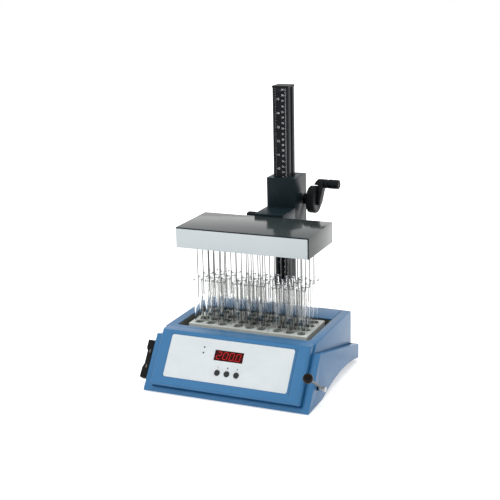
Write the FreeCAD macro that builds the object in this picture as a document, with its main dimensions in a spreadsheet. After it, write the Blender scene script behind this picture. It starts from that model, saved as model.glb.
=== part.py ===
import FreeCAD, Part

import math
import os
import re

import Sketcher
from FreeCAD import Placement, Rotation, Vector

# Nitrogen sample evaporator. +X is the operator's right, -Y the front, +Z up.
# The origin is where the lift column's axis meets the bench.

SIZES = {
    # bench feet and cradle
    "foot_height": 18,
    "foot_radius": 10,
    "foot_inset_side": 22,
    "foot_inset_front": 42,
    "foot_inset_rear": 14,
    "stud_radius": 2.5,
    "cradle_width": 306,
    "cradle_wall": 2,
    "cradle_front": 150,
    "cradle_rear": 117.2,
    "cradle_front_height": 86,
    "cradle_rear_height": 33,
    "skirt_gap": 2,
    "flange_width": 9,
    "riser_reach": 112,
    "arch_radius": 366,
    "arch_centre": 25,
    "arch_clearance": 0.5,
    "tongue_width": 100,
    "tongue_reach": 33,
    "column_to_well": 145,
    # control panel
    "panel_slant": 35.5,
    "panel_proud": 12.5,
    "panel_bottom": 17.9,
    "panel_width": 276.6,
    "panel_depth": 15.5,
    "panel_wall": 3,
    "panel_gap": 0.7,
    "panel_fillet": 4,
    "label_width": 229,
    "label_low": 16,
    "label_margin": 7,
    "label_offset": 2,
    "label_thickness": 0.8,
    "label_corner": 4,
    "label_seam": 0.3,
    "window_width": 53,
    "window_height": 18,
    "window_offset": 3,
    "window_shift": 1.75,
    "lamp_radius": 1.5,
    "lamp_offset": 51,
    "lamp_high_rise": 11,
    "lamp_low_rise": 1,
    "button_radius": 5,
    "button_gap": 0.3,
    "button_pitch": 17.7,
    "button_level": 34.5,
    "button_proud": 1.8,
    "button_flange": 1.4,
    "board_depth": 10,
    "board_thickness": 1.6,
    "board_width": 210,
    "switch_height": 2,
    # heater unit
    "heater_width": 283,
    "heater_rear": 107.3,
    "heater_bottom": 23,
    "deck_height": 98.5,
    "shell_wall": 2,
    "well_width": 248.8,
    "well_front": 64.7,
    "well_rear": 52.6,
    "liner_wall": 1.5,
    "part_gap": 0.3,
    "block_width": 74.6,
    "block_pitch": 75,
    "block_front": 44.8,
    "block_depth": 92.5,
    "block_height": 50,
    "block_top": 96,
    "block_chamfer": 0.6,
    "hole_columns": 3,
    "hole_rows": 4,
    "hole_pitch_across": 22.5,
    "hole_pitch_deep": 21.5,
    "plate_thickness": 10,
    "plate_edge": 1.4,
    "insulation_rim": 5,
    "insulation_margin": 8,
    "cartridge_radius": 4,
    "cartridge_length": 200,
    "cartridge_spread": 23,
    "probe_radius": 2,
    "probe_length": 18,
    # sample tubes
    "tube_radius": 8,
    "tube_wall": 1.1,
    "tube_length": 125,
    "tube_bead": 0.9,
    "tube_clearance": 0.3,
    "tube_base": 51,
    # mains inlet and rocker switch
    "inlet_centre": 85,
    "inlet_level": 60,
    "inlet_width": 54,
    "inlet_height": 32,
    "inlet_flange": 2.5,
    "inlet_lap": 3,
    "inlet_depth": 18,
    "socket_width": 24,
    "socket_height": 17,
    "socket_depth": 15,
    "socket_centre": 97,
    "pin_length": 11,
    "rocker_centre": 71,
    "rocker_width": 11,
    "rocker_half_length": 9,
    "rocker_depth": 4,
    "rocker_proud": 5.5,
    "rocker_dip": 1.3,
    "rocker_tilt": 11,
    "rocker_inset": 1.3,
    "rocker_slot_half": 10.5,
    "rocker_pin_radius": 1,
    # lift column, rack and scale
    "column_side": 30,
    "column_top": 497,
    "side_groove_width": 8,
    "side_groove_depth": 6,
    "scale_width": 21.6,
    "scale_thickness": 0.5,
    "scale_recess": 0.6,
    "scale_low": 100,
    "scale_high": 490,
    "cap_overhang": 0.8,
    "cap_height": 3.3,
    "column_foot_width": 64,
    "column_foot_front": 27,
    "column_foot_rear": 30,
    "column_foot_height": 26,
    "socket_fit": 0.1,
    "rack_module": 1,
    "rack_groove": 10,
    "rack_groove_depth": 10,
    "rack_pitch_height": 7,
    "rack_width": 9.4,
    "rack_low": 205,
    "rack_high": 465,
    "pinion_teeth": 16,
    "pinion_width": 8,
    "tooth_backlash": 0.25,
    # carriage and crank
    "carriage_left": 25,
    "carriage_right": 30,
    "carriage_front": 25,
    "carriage_rear": 34,
    "carriage_bottom": 236,
    "carriage_top": 333.7,
    "guide_thickness": 1.5,
    "guide_clearance": 0.1,
    "guide_width": 24,
    "guide_height": 15,
    "crank_level": 288,
    "shaft_radius": 3.5,
    "shaft_clearance": 0.05,
    "bush_wall": 1,
    "crank_lean": 16,
    "hub_radius": 10,
    "knob_radius": 25.5,
    "knob_start": 42,
    "knob_thickness": 16,
    "arm_reach": 30,
    "arm_width": 17,
    "arm_offset": 10,
    "grip_radius": 8.7,
    "grip_length": 28,
    "spindle_radius": 3,
    # gas head
    "head_width": 246,
    "head_front": 60.6,
    "head_depth": 120,
    "head_bottom": 238.7,
    "head_top": 275,
    "cover_wall": 1.5,
    "front_plate": 2,
    "needle_plate": 3,
    "mat_thickness": 3,
    "plenum_width": 228,
    "plenum_depth": 100,
    "plenum_height": 22,
    "plenum_wall": 6,
    "needle_radius": 0.8,
    "needle_bore": 0.5,
    "needle_tip": 140,
    "needle_rise": 4,
    "arm_top": 279.5,
    "arm_bottom": 240,
    "bolt_radius": 2,
    "bolt_head": 3.5,
    "bolt_head_height": 3,
    "inlet_bore": 3.05,
    "inlet_radius": 6.5,
    "inlet_body_length": 25,
    "inlet_hole_depth": 16,
    "inlet_reach": 31,
    "inlet_drop": 11,
    "gas_passage": 2,
    # side lever and side grip
    "lever_forward": 47.5,
    "lever_level": 31,
    "lever_length": 86.7,
    "lever_angle": 32.4,
    "lever_offset": 10,
    "lever_rod_radius": 2.3,
    "lever_hub_radius": 4.5,
    "lever_hub_length": 8,
    "lever_shaft_radius": 3,
    "lever_ball_radius": 8.7,
    "side_grip_low": 12,
    "side_grip_high": 80,
    "side_grip_proud": 15,
    "side_grip_waist": 12,
    "side_grip_block": 17,
    "side_grip_width": 14,
    "side_grip_recess": 3,
}

FITS = {
    "slope": "tan(panel_slant * 1 deg)",
    "upright": "cos(panel_slant * 1 deg)",
    "cradle_half": "cradle_width / 2",
    "cradle_inner": "cradle_half - cradle_wall",
    "floor_low": "foot_height",
    "floor_top": "foot_height + cradle_wall",
    "shelf_top": "skirt_gap + cradle_wall",
    "tongue_end": "column_to_well + tongue_reach",
    "panel_front": "-cradle_front + panel_bottom * slope - panel_proud / upright",
    "panel_length": "(deck_height - panel_bottom) / upright",
    "panel_half": "panel_width / 2",
    "label_high": "panel_length - label_margin",
    "window_level": "(button_level + label_high) / 2 + window_shift",
    "lamp_high": "window_level + lamp_high_rise",
    "lamp_low": "window_level + lamp_low_rise",
    "label_left": "-label_width / 2 - label_offset",
    "label_right": "label_width / 2 - label_offset",
    "heater_half": "heater_width / 2",
    "shell_inner": "heater_half - shell_wall",
    "deck_under": "deck_height - shell_wall",
    "well_half": "well_width / 2",
    "liner_half": "well_half - part_gap",
    "block_base": "block_top - block_height",
    "block_rear": "block_depth - block_front",
    "block_middle": "block_depth / 2 - block_front",
    "plate_low": "block_base - plate_thickness",
    "plate_half": "block_pitch + block_width / 2 + plate_edge",
    "plate_front": "-block_front - plate_edge",
    "plate_rear": "block_rear + plate_edge",
    "insulation_top": "plate_low + insulation_rim",
    "base_plate_top": "heater_bottom + shell_wall",
    "hole_radius": "tube_radius + tube_clearance",
    "hole_depth": "block_top - tube_base + tube_clearance",
    "first_row": "block_middle - (hole_rows - 1) / 2 * hole_pitch_deep",
    "column_half": "column_side / 2",
    "pitch_line": "column_half - rack_groove_depth + rack_pitch_height",
    "pinion_axis": "pitch_line + rack_module * pinion_teeth / 2",
    "guide_half": "column_half + guide_thickness + guide_clearance",
    "bush_radius": "shaft_radius + shaft_clearance + bush_wall",
    "knob_end": "knob_start + knob_thickness",
    "arm_face": "knob_end + arm_offset",
    "head_half": "head_width / 2",
    "head_rear": "head_depth - head_front",
    "plate_top": "head_bottom + needle_plate",
    "mat_top": "plate_top + mat_thickness",
    "plenum_top": "mat_top + plenum_height",
    "plenum_centre": "block_middle",
    "arm_head_end": "head_rear - column_to_well",
    "inlet_along": "arm_head_end + inlet_reach - part_gap",
    "gas_level": "arm_top - inlet_drop",
    "lever_plane": "cradle_half + lever_offset",
    "lever_along": "lever_forward - cradle_front",
}

doc = FreeCAD.newDocument("nitrogen_evaporator")
sheet = doc.addObject("Spreadsheet::Sheet", "Sizes")
for row, (alias, size) in enumerate(SIZES.items(), start=1):
    sheet.set("A%d" % row, alias)
    sheet.set("B%d" % row, str(size))
    sheet.setAlias("B%d" % row, alias)
doc.recompute()

NAME = re.compile(r"[a-z][a-z_]+")
TURNS = {
    "X": Rotation(Vector(0, 1, 0), 90),
    "Y": Rotation(Vector(1, 0, 0), -90),
    "Z": Rotation(),
}
NODES = []


def sized(formula):
    """Write a formula's plain names as cells of the sheet."""
    def cell(match):
        name = match.group(0)
        if name in SIZES:
            return "Sizes." + name
        if name in FITS:
            return "(" + sized(FITS[name]) + ")"
        return name
    return NAME.sub(cell, str(formula))


def bind(item, setting, formula):
    item.setExpression(setting, sized(formula))


def node(label, item, frame=None):
    """Name a finished sub-part and put it in the frame it is drawn in."""
    item.Label = label
    NODES.append(item)
    if frame == "well":
        bind(item, "Placement.Base.y", "-column_to_well")
    if frame == "panel":
        item.Placement = Placement(Vector(), Rotation(Vector(1, 0, 0), 1))
        bind(item, "Placement.Base.y", "panel_front - column_to_well")
        bind(item, "Placement.Base.z", "panel_bottom")
        bind(item, "Placement.Rotation.Angle", "90 - panel_slant")
    if frame == "crank":
        item.Placement = Placement(Vector(), Rotation(Vector(-1, 0, 0), 1))
        bind(item, "Placement.Base.y", "pinion_axis")
        bind(item, "Placement.Base.z", "crank_level")
        bind(item, "Placement.Rotation.Angle", "crank_lean")
    return item


def block(x, y, z):
    """A box between the low and high formula of each axis."""
    box = doc.addObject("Part::Box", "block")
    for side, corner, (low, high) in zip(("Length", "Width", "Height"), "xyz", (x, y, z)):
        bind(box, side, "(%s) - (%s)" % (high, low))
        bind(box, "Placement.Base." + corner, low)
    return box


def rod(radius, start, length, axis="Z"):
    """A cylinder from its start point along a positive axis."""
    cylinder = doc.addObject("Part::Cylinder", "rod")
    bind(cylinder, "Radius", radius)
    bind(cylinder, "Height", length)
    cylinder.Placement = Placement(Vector(), TURNS[axis])
    for corner, formula in zip("xyz", start):
        bind(cylinder, "Placement.Base." + corner, formula)
    return cylinder


def ball(radius, centre):
    sphere = doc.addObject("Part::Sphere", "ball")
    bind(sphere, "Radius", radius)
    for corner, formula in zip("xyz", centre):
        bind(sphere, "Placement.Base." + corner, formula)
    return sphere


def fuse(*items):
    joined = doc.addObject("Part::MultiFuse", "joined")
    joined.Shapes = list(items)
    joined.Refine = True
    return joined


def group(*items):
    gathered = doc.addObject("Part::Compound", "gathered")
    gathered.Links = list(items)
    return gathered


def cut(base, *tools):
    """Take the tools from the base, and check that material went."""
    result = doc.addObject("Part::Cut", "trimmed")
    result.Base = base
    result.Tool = tools[0] if len(tools) == 1 else group(*tools)
    doc.recompute()
    if not result.Shape.Volume < base.Shape.Volume:
        raise RuntimeError("a cut took nothing from " + base.Label)
    return result


def origin_part(body, role):
    return [item for item in body.Origin.OriginFeatures if item.Role == role][0]


def new_body(name):
    return doc.addObject("PartDesign::Body", name)


def new_sketch(body, plane, height=None):
    sketch = body.newObject("Sketcher::SketchObject", "sketch")
    sketch.AttachmentSupport = [(origin_part(body, plane), "")]
    sketch.MapMode = "FlatFace"
    if height is not None:
        bind(sketch, "AttachmentOffset.Base.z", height)
    return sketch


def fix_point(sketch, curve, end, across, up, first):
    for kind, formula, start in (("DistanceX", across, first.x), ("DistanceY", up, first.y)):
        index = sketch.addConstraint(Sketcher.Constraint(kind, -1, 1, curve, end, start))
        bind(sketch, "Constraints[%d]" % index, formula)


def outline(sketch, corners):
    """A closed outline whose corners are pairs of formulas."""
    count = len(corners)
    places = [Vector(math.cos(2 * math.pi * k / count), math.sin(2 * math.pi * k / count), 0)
              for k in range(count)]
    lines = []
    for k in range(count):
        line = Part.LineSegment(places[k], places[(k + 1) % count])
        lines.append(sketch.addGeometry(line))
    for k in range(count):
        sketch.addConstraint(Sketcher.Constraint("Coincident", lines[k], 2, lines[(k + 1) % count], 1))
    for k, (across, up) in enumerate(corners):
        fix_point(sketch, lines[k], 1, across, up, places[k])
    return sketch


def rectangle(sketch, across, up):
    low, high = across
    bottom, top = up
    return outline(sketch, [(low, bottom), (high, bottom), (high, top), (low, top)])


def circle(sketch, across, up, radius):
    start = Vector(1, 1, 0)
    curve = sketch.addGeometry(Part.Circle(start, Vector(0, 0, 1), 1))
    index = sketch.addConstraint(Sketcher.Constraint("Radius", curve, 1))
    bind(sketch, "Constraints[%d]" % index, radius)
    fix_point(sketch, curve, 3, across, up, start)
    return sketch


def pad(body, sketch, length, both_ways=False):
    feature = body.newObject("PartDesign::Pad", "pad")
    feature.Profile = sketch
    feature.Midplane = both_ways
    bind(feature, "Length", length)
    doc.recompute()
    return feature


def pocket(body, sketch, length, both_ways=False, reverse=False):
    before = body.Shape.Volume
    feature = body.newObject("PartDesign::Pocket", "pocket")
    feature.Profile = sketch
    feature.Midplane = both_ways
    feature.Reversed = reverse
    bind(feature, "Length", length)
    doc.recompute()
    if not feature.Shape.Volume < before:
        raise RuntimeError("a pocket took nothing from " + body.Label)
    return feature


def repeat(body, feature, direction, spacing, count):
    pattern = body.newObject("PartDesign::LinearPattern", "pattern")
    pattern.Originals = [feature]
    pattern.Direction = (origin_part(body, direction), [""])
    pattern.Mode = "Spacing"
    bind(pattern, "Offset", spacing)
    bind(pattern, "Occurrences", count)
    body.Tip = pattern
    doc.recompute()
    return pattern


def spin(body, sketch):
    feature = body.newObject("PartDesign::Revolution", "spin")
    feature.Profile = sketch
    feature.ReferenceAxis = (origin_part(body, "Z_Axis"), [""])
    feature.Angle = 360
    doc.recompute()
    return feature


def round_edges(body, feature, radius, chosen, kind="Fillet"):
    """Round or bevel the edges of a feature that the test picks out."""
    names = ["Edge%d" % (k + 1) for k, edge in enumerate(feature.Shape.Edges) if chosen(edge)]
    rounded = body.newObject("PartDesign::" + kind, "rounded")
    rounded.Base = (feature, names)
    bind(rounded, "Radius" if kind == "Fillet" else "Size", radius)
    doc.recompute()
    return rounded


def along(edge, axis):
    """True for a straight edge that runs along the axis."""
    if not isinstance(edge.Curve, Part.Line):
        return False
    return abs(edge.Curve.Direction.dot(axis)) > 0.999


def size(alias):
    return float(sheet.get(alias))


def ground_front(height, back="0"):
    """The cradle's slanted front at a height, set back square to its face."""
    return "-cradle_front + (%s) * slope + (%s) / upright" % (height, back)


def shell_front(height, back="0"):
    return ground_front(height, "panel_depth - panel_proud + (%s)" % back)


# Cradle


def cradle_tray():
    body = new_body("cradle_tray")
    profile = new_sketch(body, "YZ_Plane")
    outline(profile, [
        (ground_front("skirt_gap"), "skirt_gap"),
        (ground_front("cradle_front_height"), "cradle_front_height"),
        ("cradle_rear", "cradle_rear_height"),
        ("cradle_rear", "skirt_gap"),
    ])
    pad(body, profile, "cradle_width", both_ways=True)
    inside = new_sketch(body, "YZ_Plane")
    outline(inside, [
        (ground_front("shelf_top", "cradle_wall"), "shelf_top"),
        (ground_front("cradle_front_height - cradle_wall", "cradle_wall"),
         "cradle_front_height - cradle_wall"),
        ("cradle_rear - cradle_wall", "cradle_rear_height - cradle_wall"),
        ("cradle_rear - cradle_wall", "floor_top"),
        ("-riser_reach", "floor_top"),
        ("-riser_reach", "shelf_top"),
    ])
    pocket(body, inside, "2 * cradle_inner", both_ways=True)
    mouth = new_sketch(body, "YZ_Plane")
    outline(mouth, [
        (ground_front("cradle_front_height / 2", "cradle_wall"), "cradle_front_height / 2"),
        (ground_front("cradle_front_height * 2", "cradle_wall"), "cradle_front_height * 2"),
        ("cradle_rear - cradle_wall", "cradle_front_height * 2"),
        ("cradle_rear - cradle_wall", "floor_top + cradle_wall"),
        ("0", "floor_top + cradle_wall"),
    ])
    pocket(body, mouth, "cradle_width - 2 * flange_width", both_ways=True)
    underside = new_sketch(body, "YZ_Plane")
    outline(underside, [
        ("cradle_wall - riser_reach", "0"),
        ("cradle_rear - cradle_wall", "0"),
        ("cradle_rear - cradle_wall", "floor_low"),
        ("cradle_wall - riser_reach", "floor_low"),
    ])
    pocket(body, underside, "2 * cradle_inner", both_ways=True)
    return body


def panel_tool(item):
    """Turn a cutting tool drawn in the panel's frame into the well's frame."""
    turned = group(item)
    turned.Placement = Placement(Vector(), Rotation(Vector(1, 0, 0), 1))
    bind(turned, "Placement.Base.y", "panel_front")
    bind(turned, "Placement.Base.z", "panel_bottom")
    bind(turned, "Placement.Rotation.Angle", "90 - panel_slant")
    return turned


FEET = [
    ("%s(cradle_half - foot_inset_side)" % side, place)
    for side in ("-", "")
    for place in ("foot_inset_front - cradle_front + floor_top * slope",
                  "cradle_rear - foot_inset_rear")
]
FEET.append(("0", "column_to_well"))
FOOT_BOLTS = [("%s24" % side, place) for side in ("-", "") for place in ("-19", "22")]
GRIP_ENDS = ("side_grip_low + side_grip_block / 2", "side_grip_high - side_grip_block / 2")


def grip_hole(level, radius):
    """A hole or screw across the left wall, square to it, behind the side grip."""
    return rod(radius, ("-cradle_half - 6", level, "-panel_proud - side_grip_recess - side_grip_width / 2"),
               "8 + cradle_wall", "X")


def cradle_shell():
    tongue = block(("-tongue_width / 2", "tongue_width / 2"),
                   ("cradle_rear - cradle_wall", "tongue_end"), ("floor_low", "floor_top"))
    whole = fuse(cradle_tray(), tongue)
    opening = panel_tool(block(
        ("-panel_half - panel_gap", "panel_half + panel_gap"),
        ("-panel_gap", "2 * panel_length"),
        ("-panel_depth - panel_gap", "panel_wall")))
    arch = rod("arch_radius", ("-cradle_width", "arch_centre", "floor_low - arch_clearance - arch_radius"),
               "2 * cradle_width", "X")
    studs = [rod("stud_radius + button_gap", (x, y, "0"), "floor_top + 1") for x, y in FEET]
    bolts = [rod("stud_radius + button_gap", (x, "column_to_well + " + y, "floor_low - 1"), "4")
             for x, y in FOOT_BOLTS]
    lever_hole = rod("lever_shaft_radius + shaft_clearance + bush_wall",
                     ("cradle_inner - 1", "lever_along", "lever_level"), "cradle_wall + 2", "X")
    grip_holes = [panel_tool(grip_hole(level, "bolt_radius + guide_clearance")) for level in GRIP_ENDS]
    return cut(whole, opening, arch, lever_hole, *studs, *bolts, *grip_holes)


node("cradle_shell", cradle_shell(), "well")
node("cradle_feet", group(*[rod("foot_radius", (x, y, "0"), "foot_height") for x, y in FEET]), "well")
node("foot_studs", group(*[rod("stud_radius", (x, y, "foot_height"), "cradle_wall + 1") for x, y in FEET]),
     "well")


# Control panel, drawn with Y up its slope and Z out of its face

BUTTONS = {"down_button": "-button_pitch", "stop_button": "0", "up_button": "button_pitch"}
LAMPS = ("lamp_high", "lamp_low")


def panel_window(margin, depth):
    return block(
        ("-window_offset - window_width / 2 - %s" % margin, "-window_offset + window_width / 2 + %s" % margin),
        ("window_level - window_height / 2 - %s" % margin, "window_level + window_height / 2 + %s" % margin),
        depth)


def panel_holes(depth):
    """The holes for the buttons and lamps, through the label and the panel."""
    low, high = depth
    length = "(%s) - (%s)" % (high, low)
    buttons = [rod("button_radius + button_gap", (x, "button_level", low), length) for x in BUTTONS.values()]
    lamps = [rod("lamp_radius + guide_clearance", ("-lamp_offset", y, low), length) for y in LAMPS]
    return buttons + lamps


def fascia_frame():
    body = new_body("fascia_body")
    profile = new_sketch(body, "YZ_Plane")
    outline(profile, [
        ("0", "0"),
        ("panel_length", "0"),
        ("panel_length + panel_depth * slope", "-panel_depth"),
        ("0", "-panel_depth"),
    ])
    front = pad(body, profile, "panel_width", both_ways=True)

    def front_edge(edge):
        return edge.BoundBox.ZMin > -0.01

    round_edges(body, front, "panel_fillet", front_edge)
    hollow = new_sketch(body, "YZ_Plane")
    outline(hollow, [
        ("panel_wall", "-panel_wall"),
        ("panel_length - panel_wall", "-panel_wall"),
        ("panel_length - panel_wall + panel_depth * slope", "-panel_wall - panel_depth"),
        ("panel_wall", "-panel_wall - panel_depth"),
    ])
    pocket(body, hollow, "panel_width - 2 * panel_wall", both_ways=True)
    recess = block(("label_left - label_seam", "label_right + label_seam"),
                   ("label_low - label_seam", "label_high + label_seam"), ("-label_thickness", "1"))
    bosses = [rod("panel_wall", (x, y, "-board_depth"), "board_depth - panel_wall + label_thickness / 2")
              for x in ("-board_width / 2 + 8", "board_width / 2 - 8")
              for y in ("label_low + 6", "label_high - 12")]
    return cut(fuse(body, *bosses), recess, panel_window("label_seam", ("-panel_depth", "1")),
               *panel_holes(("-panel_depth", "1")))


def control_label():
    body = new_body("label_body")
    profile = rectangle(new_sketch(body, "XY_Plane", "-label_thickness"),
                        ("label_left", "label_right"), ("label_low", "label_high"))
    sheet_face = pad(body, profile, "label_thickness")
    round_edges(body, sheet_face, "label_corner", lambda edge: along(edge, Vector(0, 0, 1)))
    return cut(body, panel_window("label_seam", ("-1", "1")), *panel_holes(("-1", "1")))


def control_board():
    board = block(("-board_width / 2", "board_width / 2"), ("label_low", "label_high - 6"),
                  ("-board_depth - board_thickness", "-board_depth"))
    switches = [block(("%s - 3" % x, "%s + 3" % x), ("button_level - 3", "button_level + 3"),
                      ("-board_depth", "switch_height - board_depth")) for x in BUTTONS.values()]
    display = panel_window("-1", ("-board_depth", "-panel_wall"))
    return fuse(board, display, *switches)


def button(across):
    """A cap with a retaining flange behind the panel and a short plunger."""
    cap = rod("button_radius", (across, "button_level", "-panel_wall - button_gap"),
              "panel_wall + button_gap + button_proud")
    flange = rod("button_radius + 1.2", (across, "button_level", "-panel_wall - button_gap - button_flange"),
                 "button_flange")
    plunger = rod("button_radius / 2", (across, "button_level", "-board_depth + switch_height + 1.5"),
                  "board_depth - switch_height - 1.5 - panel_wall - button_gap")
    return fuse(cap, flange, plunger)


node("fascia_frame", fascia_frame(), "panel")
node("control_label", control_label(), "panel")
node("display_window", group(panel_window("0", ("-panel_wall", "-label_seam"))), "panel")
node("control_board", control_board(), "panel")
node("indicator_lamps", group(*[
    rod("lamp_radius", ("-lamp_offset", y, "-board_depth"), "board_depth + label_seam") for y in LAMPS]), "panel")
for name, across in BUTTONS.items():
    node(name, button(across), "panel")


# Heater unit


def heater_shell():
    body = new_body("heater_body")
    profile = new_sketch(body, "YZ_Plane")
    outline(profile, [
        (shell_front("heater_bottom"), "heater_bottom"),
        (shell_front("deck_height"), "deck_height"),
        ("heater_rear", "deck_height"),
        ("heater_rear", "heater_bottom"),
    ])
    pad(body, profile, "heater_width", both_ways=True)
    inside = new_sketch(body, "YZ_Plane")
    outline(inside, [
        (shell_front("0", "shell_wall"), "0"),
        (shell_front("deck_under", "shell_wall"), "deck_under"),
        ("heater_rear - shell_wall", "deck_under"),
        ("heater_rear - shell_wall", "0"),
    ])
    pocket(body, inside, "2 * shell_inner", both_ways=True)
    well = block(("-well_half", "well_half"), ("-well_front", "2 * heater_rear"),
                 ("deck_under", "2 * deck_height"))
    wiring = panel_tool(block(("-board_width / 2", "board_width / 2"), ("label_low + 6", "label_high - 10"),
                              ("-panel_depth - 2 * shell_wall", "-panel_depth + 1")))
    inlet = block(("-inlet_centre - inlet_width / 2 + inlet_lap", "-inlet_centre + inlet_width / 2 - inlet_lap"),
                  ("heater_rear - 2 * shell_wall", "heater_rear + 1"),
                  ("inlet_level - inlet_height / 2 + inlet_lap", "inlet_level + inlet_height / 2 - inlet_lap"))
    return cut(body, well, wiring, inlet)


POWER_BOSSES = [(x, y) for x in ("-62", "62") for y in ("heater_rear - 41", "heater_rear - 14")]


def heater_base_plate():
    plate = block(("part_gap - shell_inner", "shell_inner - part_gap"),
                  (shell_front("base_plate_top", "shell_wall + part_gap"), "heater_rear - shell_wall - part_gap"),
                  ("heater_bottom", "base_plate_top"))
    bosses = [rod("3", (x, y, "base_plate_top"), "6") for x, y in POWER_BOSSES]
    return fuse(plate, *bosses)


def power_board():
    board = block(("-70", "70"), ("heater_rear - 46", "heater_rear - 9"),
                  ("base_plate_top + 6", "base_plate_top + 7.6"))
    transformer = block(("-22", "22"), ("heater_rear - 44", "heater_rear - 12"),
                        ("base_plate_top + 7.6", "base_plate_top + 40"))
    return fuse(board, transformer)


def insulation():
    slab = block(("-plate_half - insulation_margin", "plate_half + insulation_margin"),
                 ("-well_front + liner_wall", "well_rear"), ("base_plate_top", "insulation_top"))
    seat = block(("-plate_half - part_gap", "plate_half + part_gap"),
                 ("plate_front - part_gap", "plate_rear + part_gap"), ("plate_low", "insulation_top + 1"))
    return cut(slab, seat)


def well_liner():
    outer = block(("-liner_half", "liner_half"), ("part_gap - well_front", "well_rear + liner_wall"),
                  ("insulation_top", "deck_under"))
    inner = block(("liner_wall - liner_half", "liner_half - liner_wall"),
                  ("part_gap - well_front + liner_wall", "well_rear"),
                  ("insulation_top + liner_wall", "deck_height"))
    floor = block(("-plate_half - 1", "plate_half + 1"), ("plate_front - 1", "plate_rear + 1"),
                  ("insulation_top - 1", "insulation_top + 2 * liner_wall"))
    return cut(outer, inner, floor)


CARTRIDGES = ("block_middle - cartridge_spread", "block_middle + cartridge_spread")


def heater_plate():
    plate = block(("-plate_half", "plate_half"), ("plate_front", "plate_rear"), ("plate_low", "block_base"))
    bores = [rod("cartridge_radius + guide_clearance", ("-plate_half - 1", y, "plate_low + plate_thickness / 2"),
                 "cartridge_length + 1", "X") for y in CARTRIDGES]
    probe = rod("probe_radius + guide_clearance",
                ("0", "plate_rear - probe_length", "plate_low + plate_thickness / 2"), "probe_length + 1", "Y")
    return cut(plate, probe, *bores)


def sample_block(name, across):
    """One aluminium block with its grid of blind tube holes."""
    body = new_body(name)
    profile = rectangle(new_sketch(body, "XY_Plane", "block_base"),
                        ("-block_width / 2", "block_width / 2"), ("-block_front", "block_rear"))
    solid = pad(body, profile, "block_height")
    top = size("block_top") - 0.01
    round_edges(body, solid, "block_chamfer", lambda edge: edge.BoundBox.ZMin > top, "Chamfer")
    row = new_sketch(body, "XY_Plane", "block_top")
    for k in range(int(size("hole_columns"))):
        circle(row, "(%d - (hole_columns - 1) / 2) * hole_pitch_across" % k, "first_row", "hole_radius")
    holes = pocket(body, row, "hole_depth")
    repeat(body, holes, "Y_Axis", "hole_pitch_deep", "hole_rows")
    bind(body, "Placement.Base.x", across)
    return body


def rim_cone(low_radius, high_radius, height):
    cone = doc.addObject("Part::Cone", "rim")
    bind(cone, "Radius1", low_radius)
    bind(cone, "Radius2", high_radius)
    bind(cone, "Height", "tube_bead")
    bind(cone, "Placement.Base.z", height)
    return cone


def sample_tube():
    """A round-bottomed glass tube with a rim that swells and draws in again, its base at zero height."""
    outside = rod("tube_radius", ("0", "0", "tube_radius"), "tube_length - tube_radius")
    bottom = ball("tube_radius", ("0", "0", "tube_radius"))
    swell = rim_cone("tube_radius", "tube_radius + tube_bead", "tube_length - 2 * tube_bead")
    lip = rim_cone("tube_radius + tube_bead", "tube_radius", "tube_length - tube_bead")
    bore = rod("tube_radius - tube_wall", ("0", "0", "tube_radius"), "tube_length")
    hollow_end = ball("tube_radius - tube_wall", ("0", "0", "tube_radius"))
    return cut(fuse(outside, bottom, swell, lip), fuse(bore, hollow_end))


def grid(across):
    """The centres of one block's holes, as formulas in the well's frame."""
    return [("%s + (%d - (hole_columns - 1) / 2) * hole_pitch_across" % (across, i),
             "first_row + %d * hole_pitch_deep" % j)
            for i in range(int(size("hole_columns"))) for j in range(int(size("hole_rows")))]


def copies(master, places, height):
    links = []
    for x, y in places:
        link = doc.addObject("App::Link", "copy")
        link.LinkedObject = master
        bind(link, "Placement.Base.x", x)
        bind(link, "Placement.Base.y", y)
        bind(link, "Placement.Base.z", height)
        links.append(link)
    return group(*links)


def mains_inlet():
    """A panel inlet with three pins, joined to the frame of the rocker switch."""
    middle = "-inlet_centre"
    flange = block((middle + " - inlet_width / 2", middle + " + inlet_width / 2"),
                   ("heater_rear", "heater_rear + inlet_flange"),
                   ("inlet_level - inlet_height / 2", "inlet_level + inlet_height / 2"))
    inset = "inlet_lap + part_gap"
    housing = block((middle + " - inlet_width / 2 + " + inset, middle + " + inlet_width / 2 - (" + inset + ")"),
                    ("heater_rear - inlet_depth", "heater_rear"),
                    ("inlet_level - inlet_height / 2 + " + inset,
                     "inlet_level + inlet_height / 2 - (" + inset + ")"))
    socket = block(("-socket_centre - socket_width / 2 + 1", "-socket_centre + socket_width / 2 + 1"),
                   ("heater_rear + inlet_flange - socket_depth", "heater_rear + inlet_flange + 1"),
                   ("inlet_level - socket_height / 2", "inlet_level + socket_height / 2"))
    slot = block(("-rocker_centre - rocker_width / 2 - part_gap", "-rocker_centre + rocker_width / 2 + part_gap"),
                 ("heater_rear - inlet_depth + 3", "heater_rear + inlet_flange + 1"),
                 ("inlet_level - rocker_slot_half", "inlet_level + rocker_slot_half"))
    pivot = rod("rocker_pin_radius + shaft_clearance",
                ("-rocker_centre - rocker_width / 2 - 1.5", "heater_rear - rocker_inset", "inlet_level"),
                "rocker_width + 3", "X")
    pins = [block(("-socket_centre + 1 + (%s) - 1" % x, "-socket_centre + 1 + (%s) + 1" % x),
                  ("heater_rear + inlet_flange - socket_depth - 1",
                   "heater_rear + inlet_flange - socket_depth + pin_length"),
                  ("inlet_level + (%s) - 2" % z, "inlet_level + (%s) + 2" % z))
            for x, z in (("-7", "-2"), ("0", "2.5"), ("7", "-2"))]
    return fuse(cut(fuse(flange, housing), socket, slot, pivot), *pins)


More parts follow.
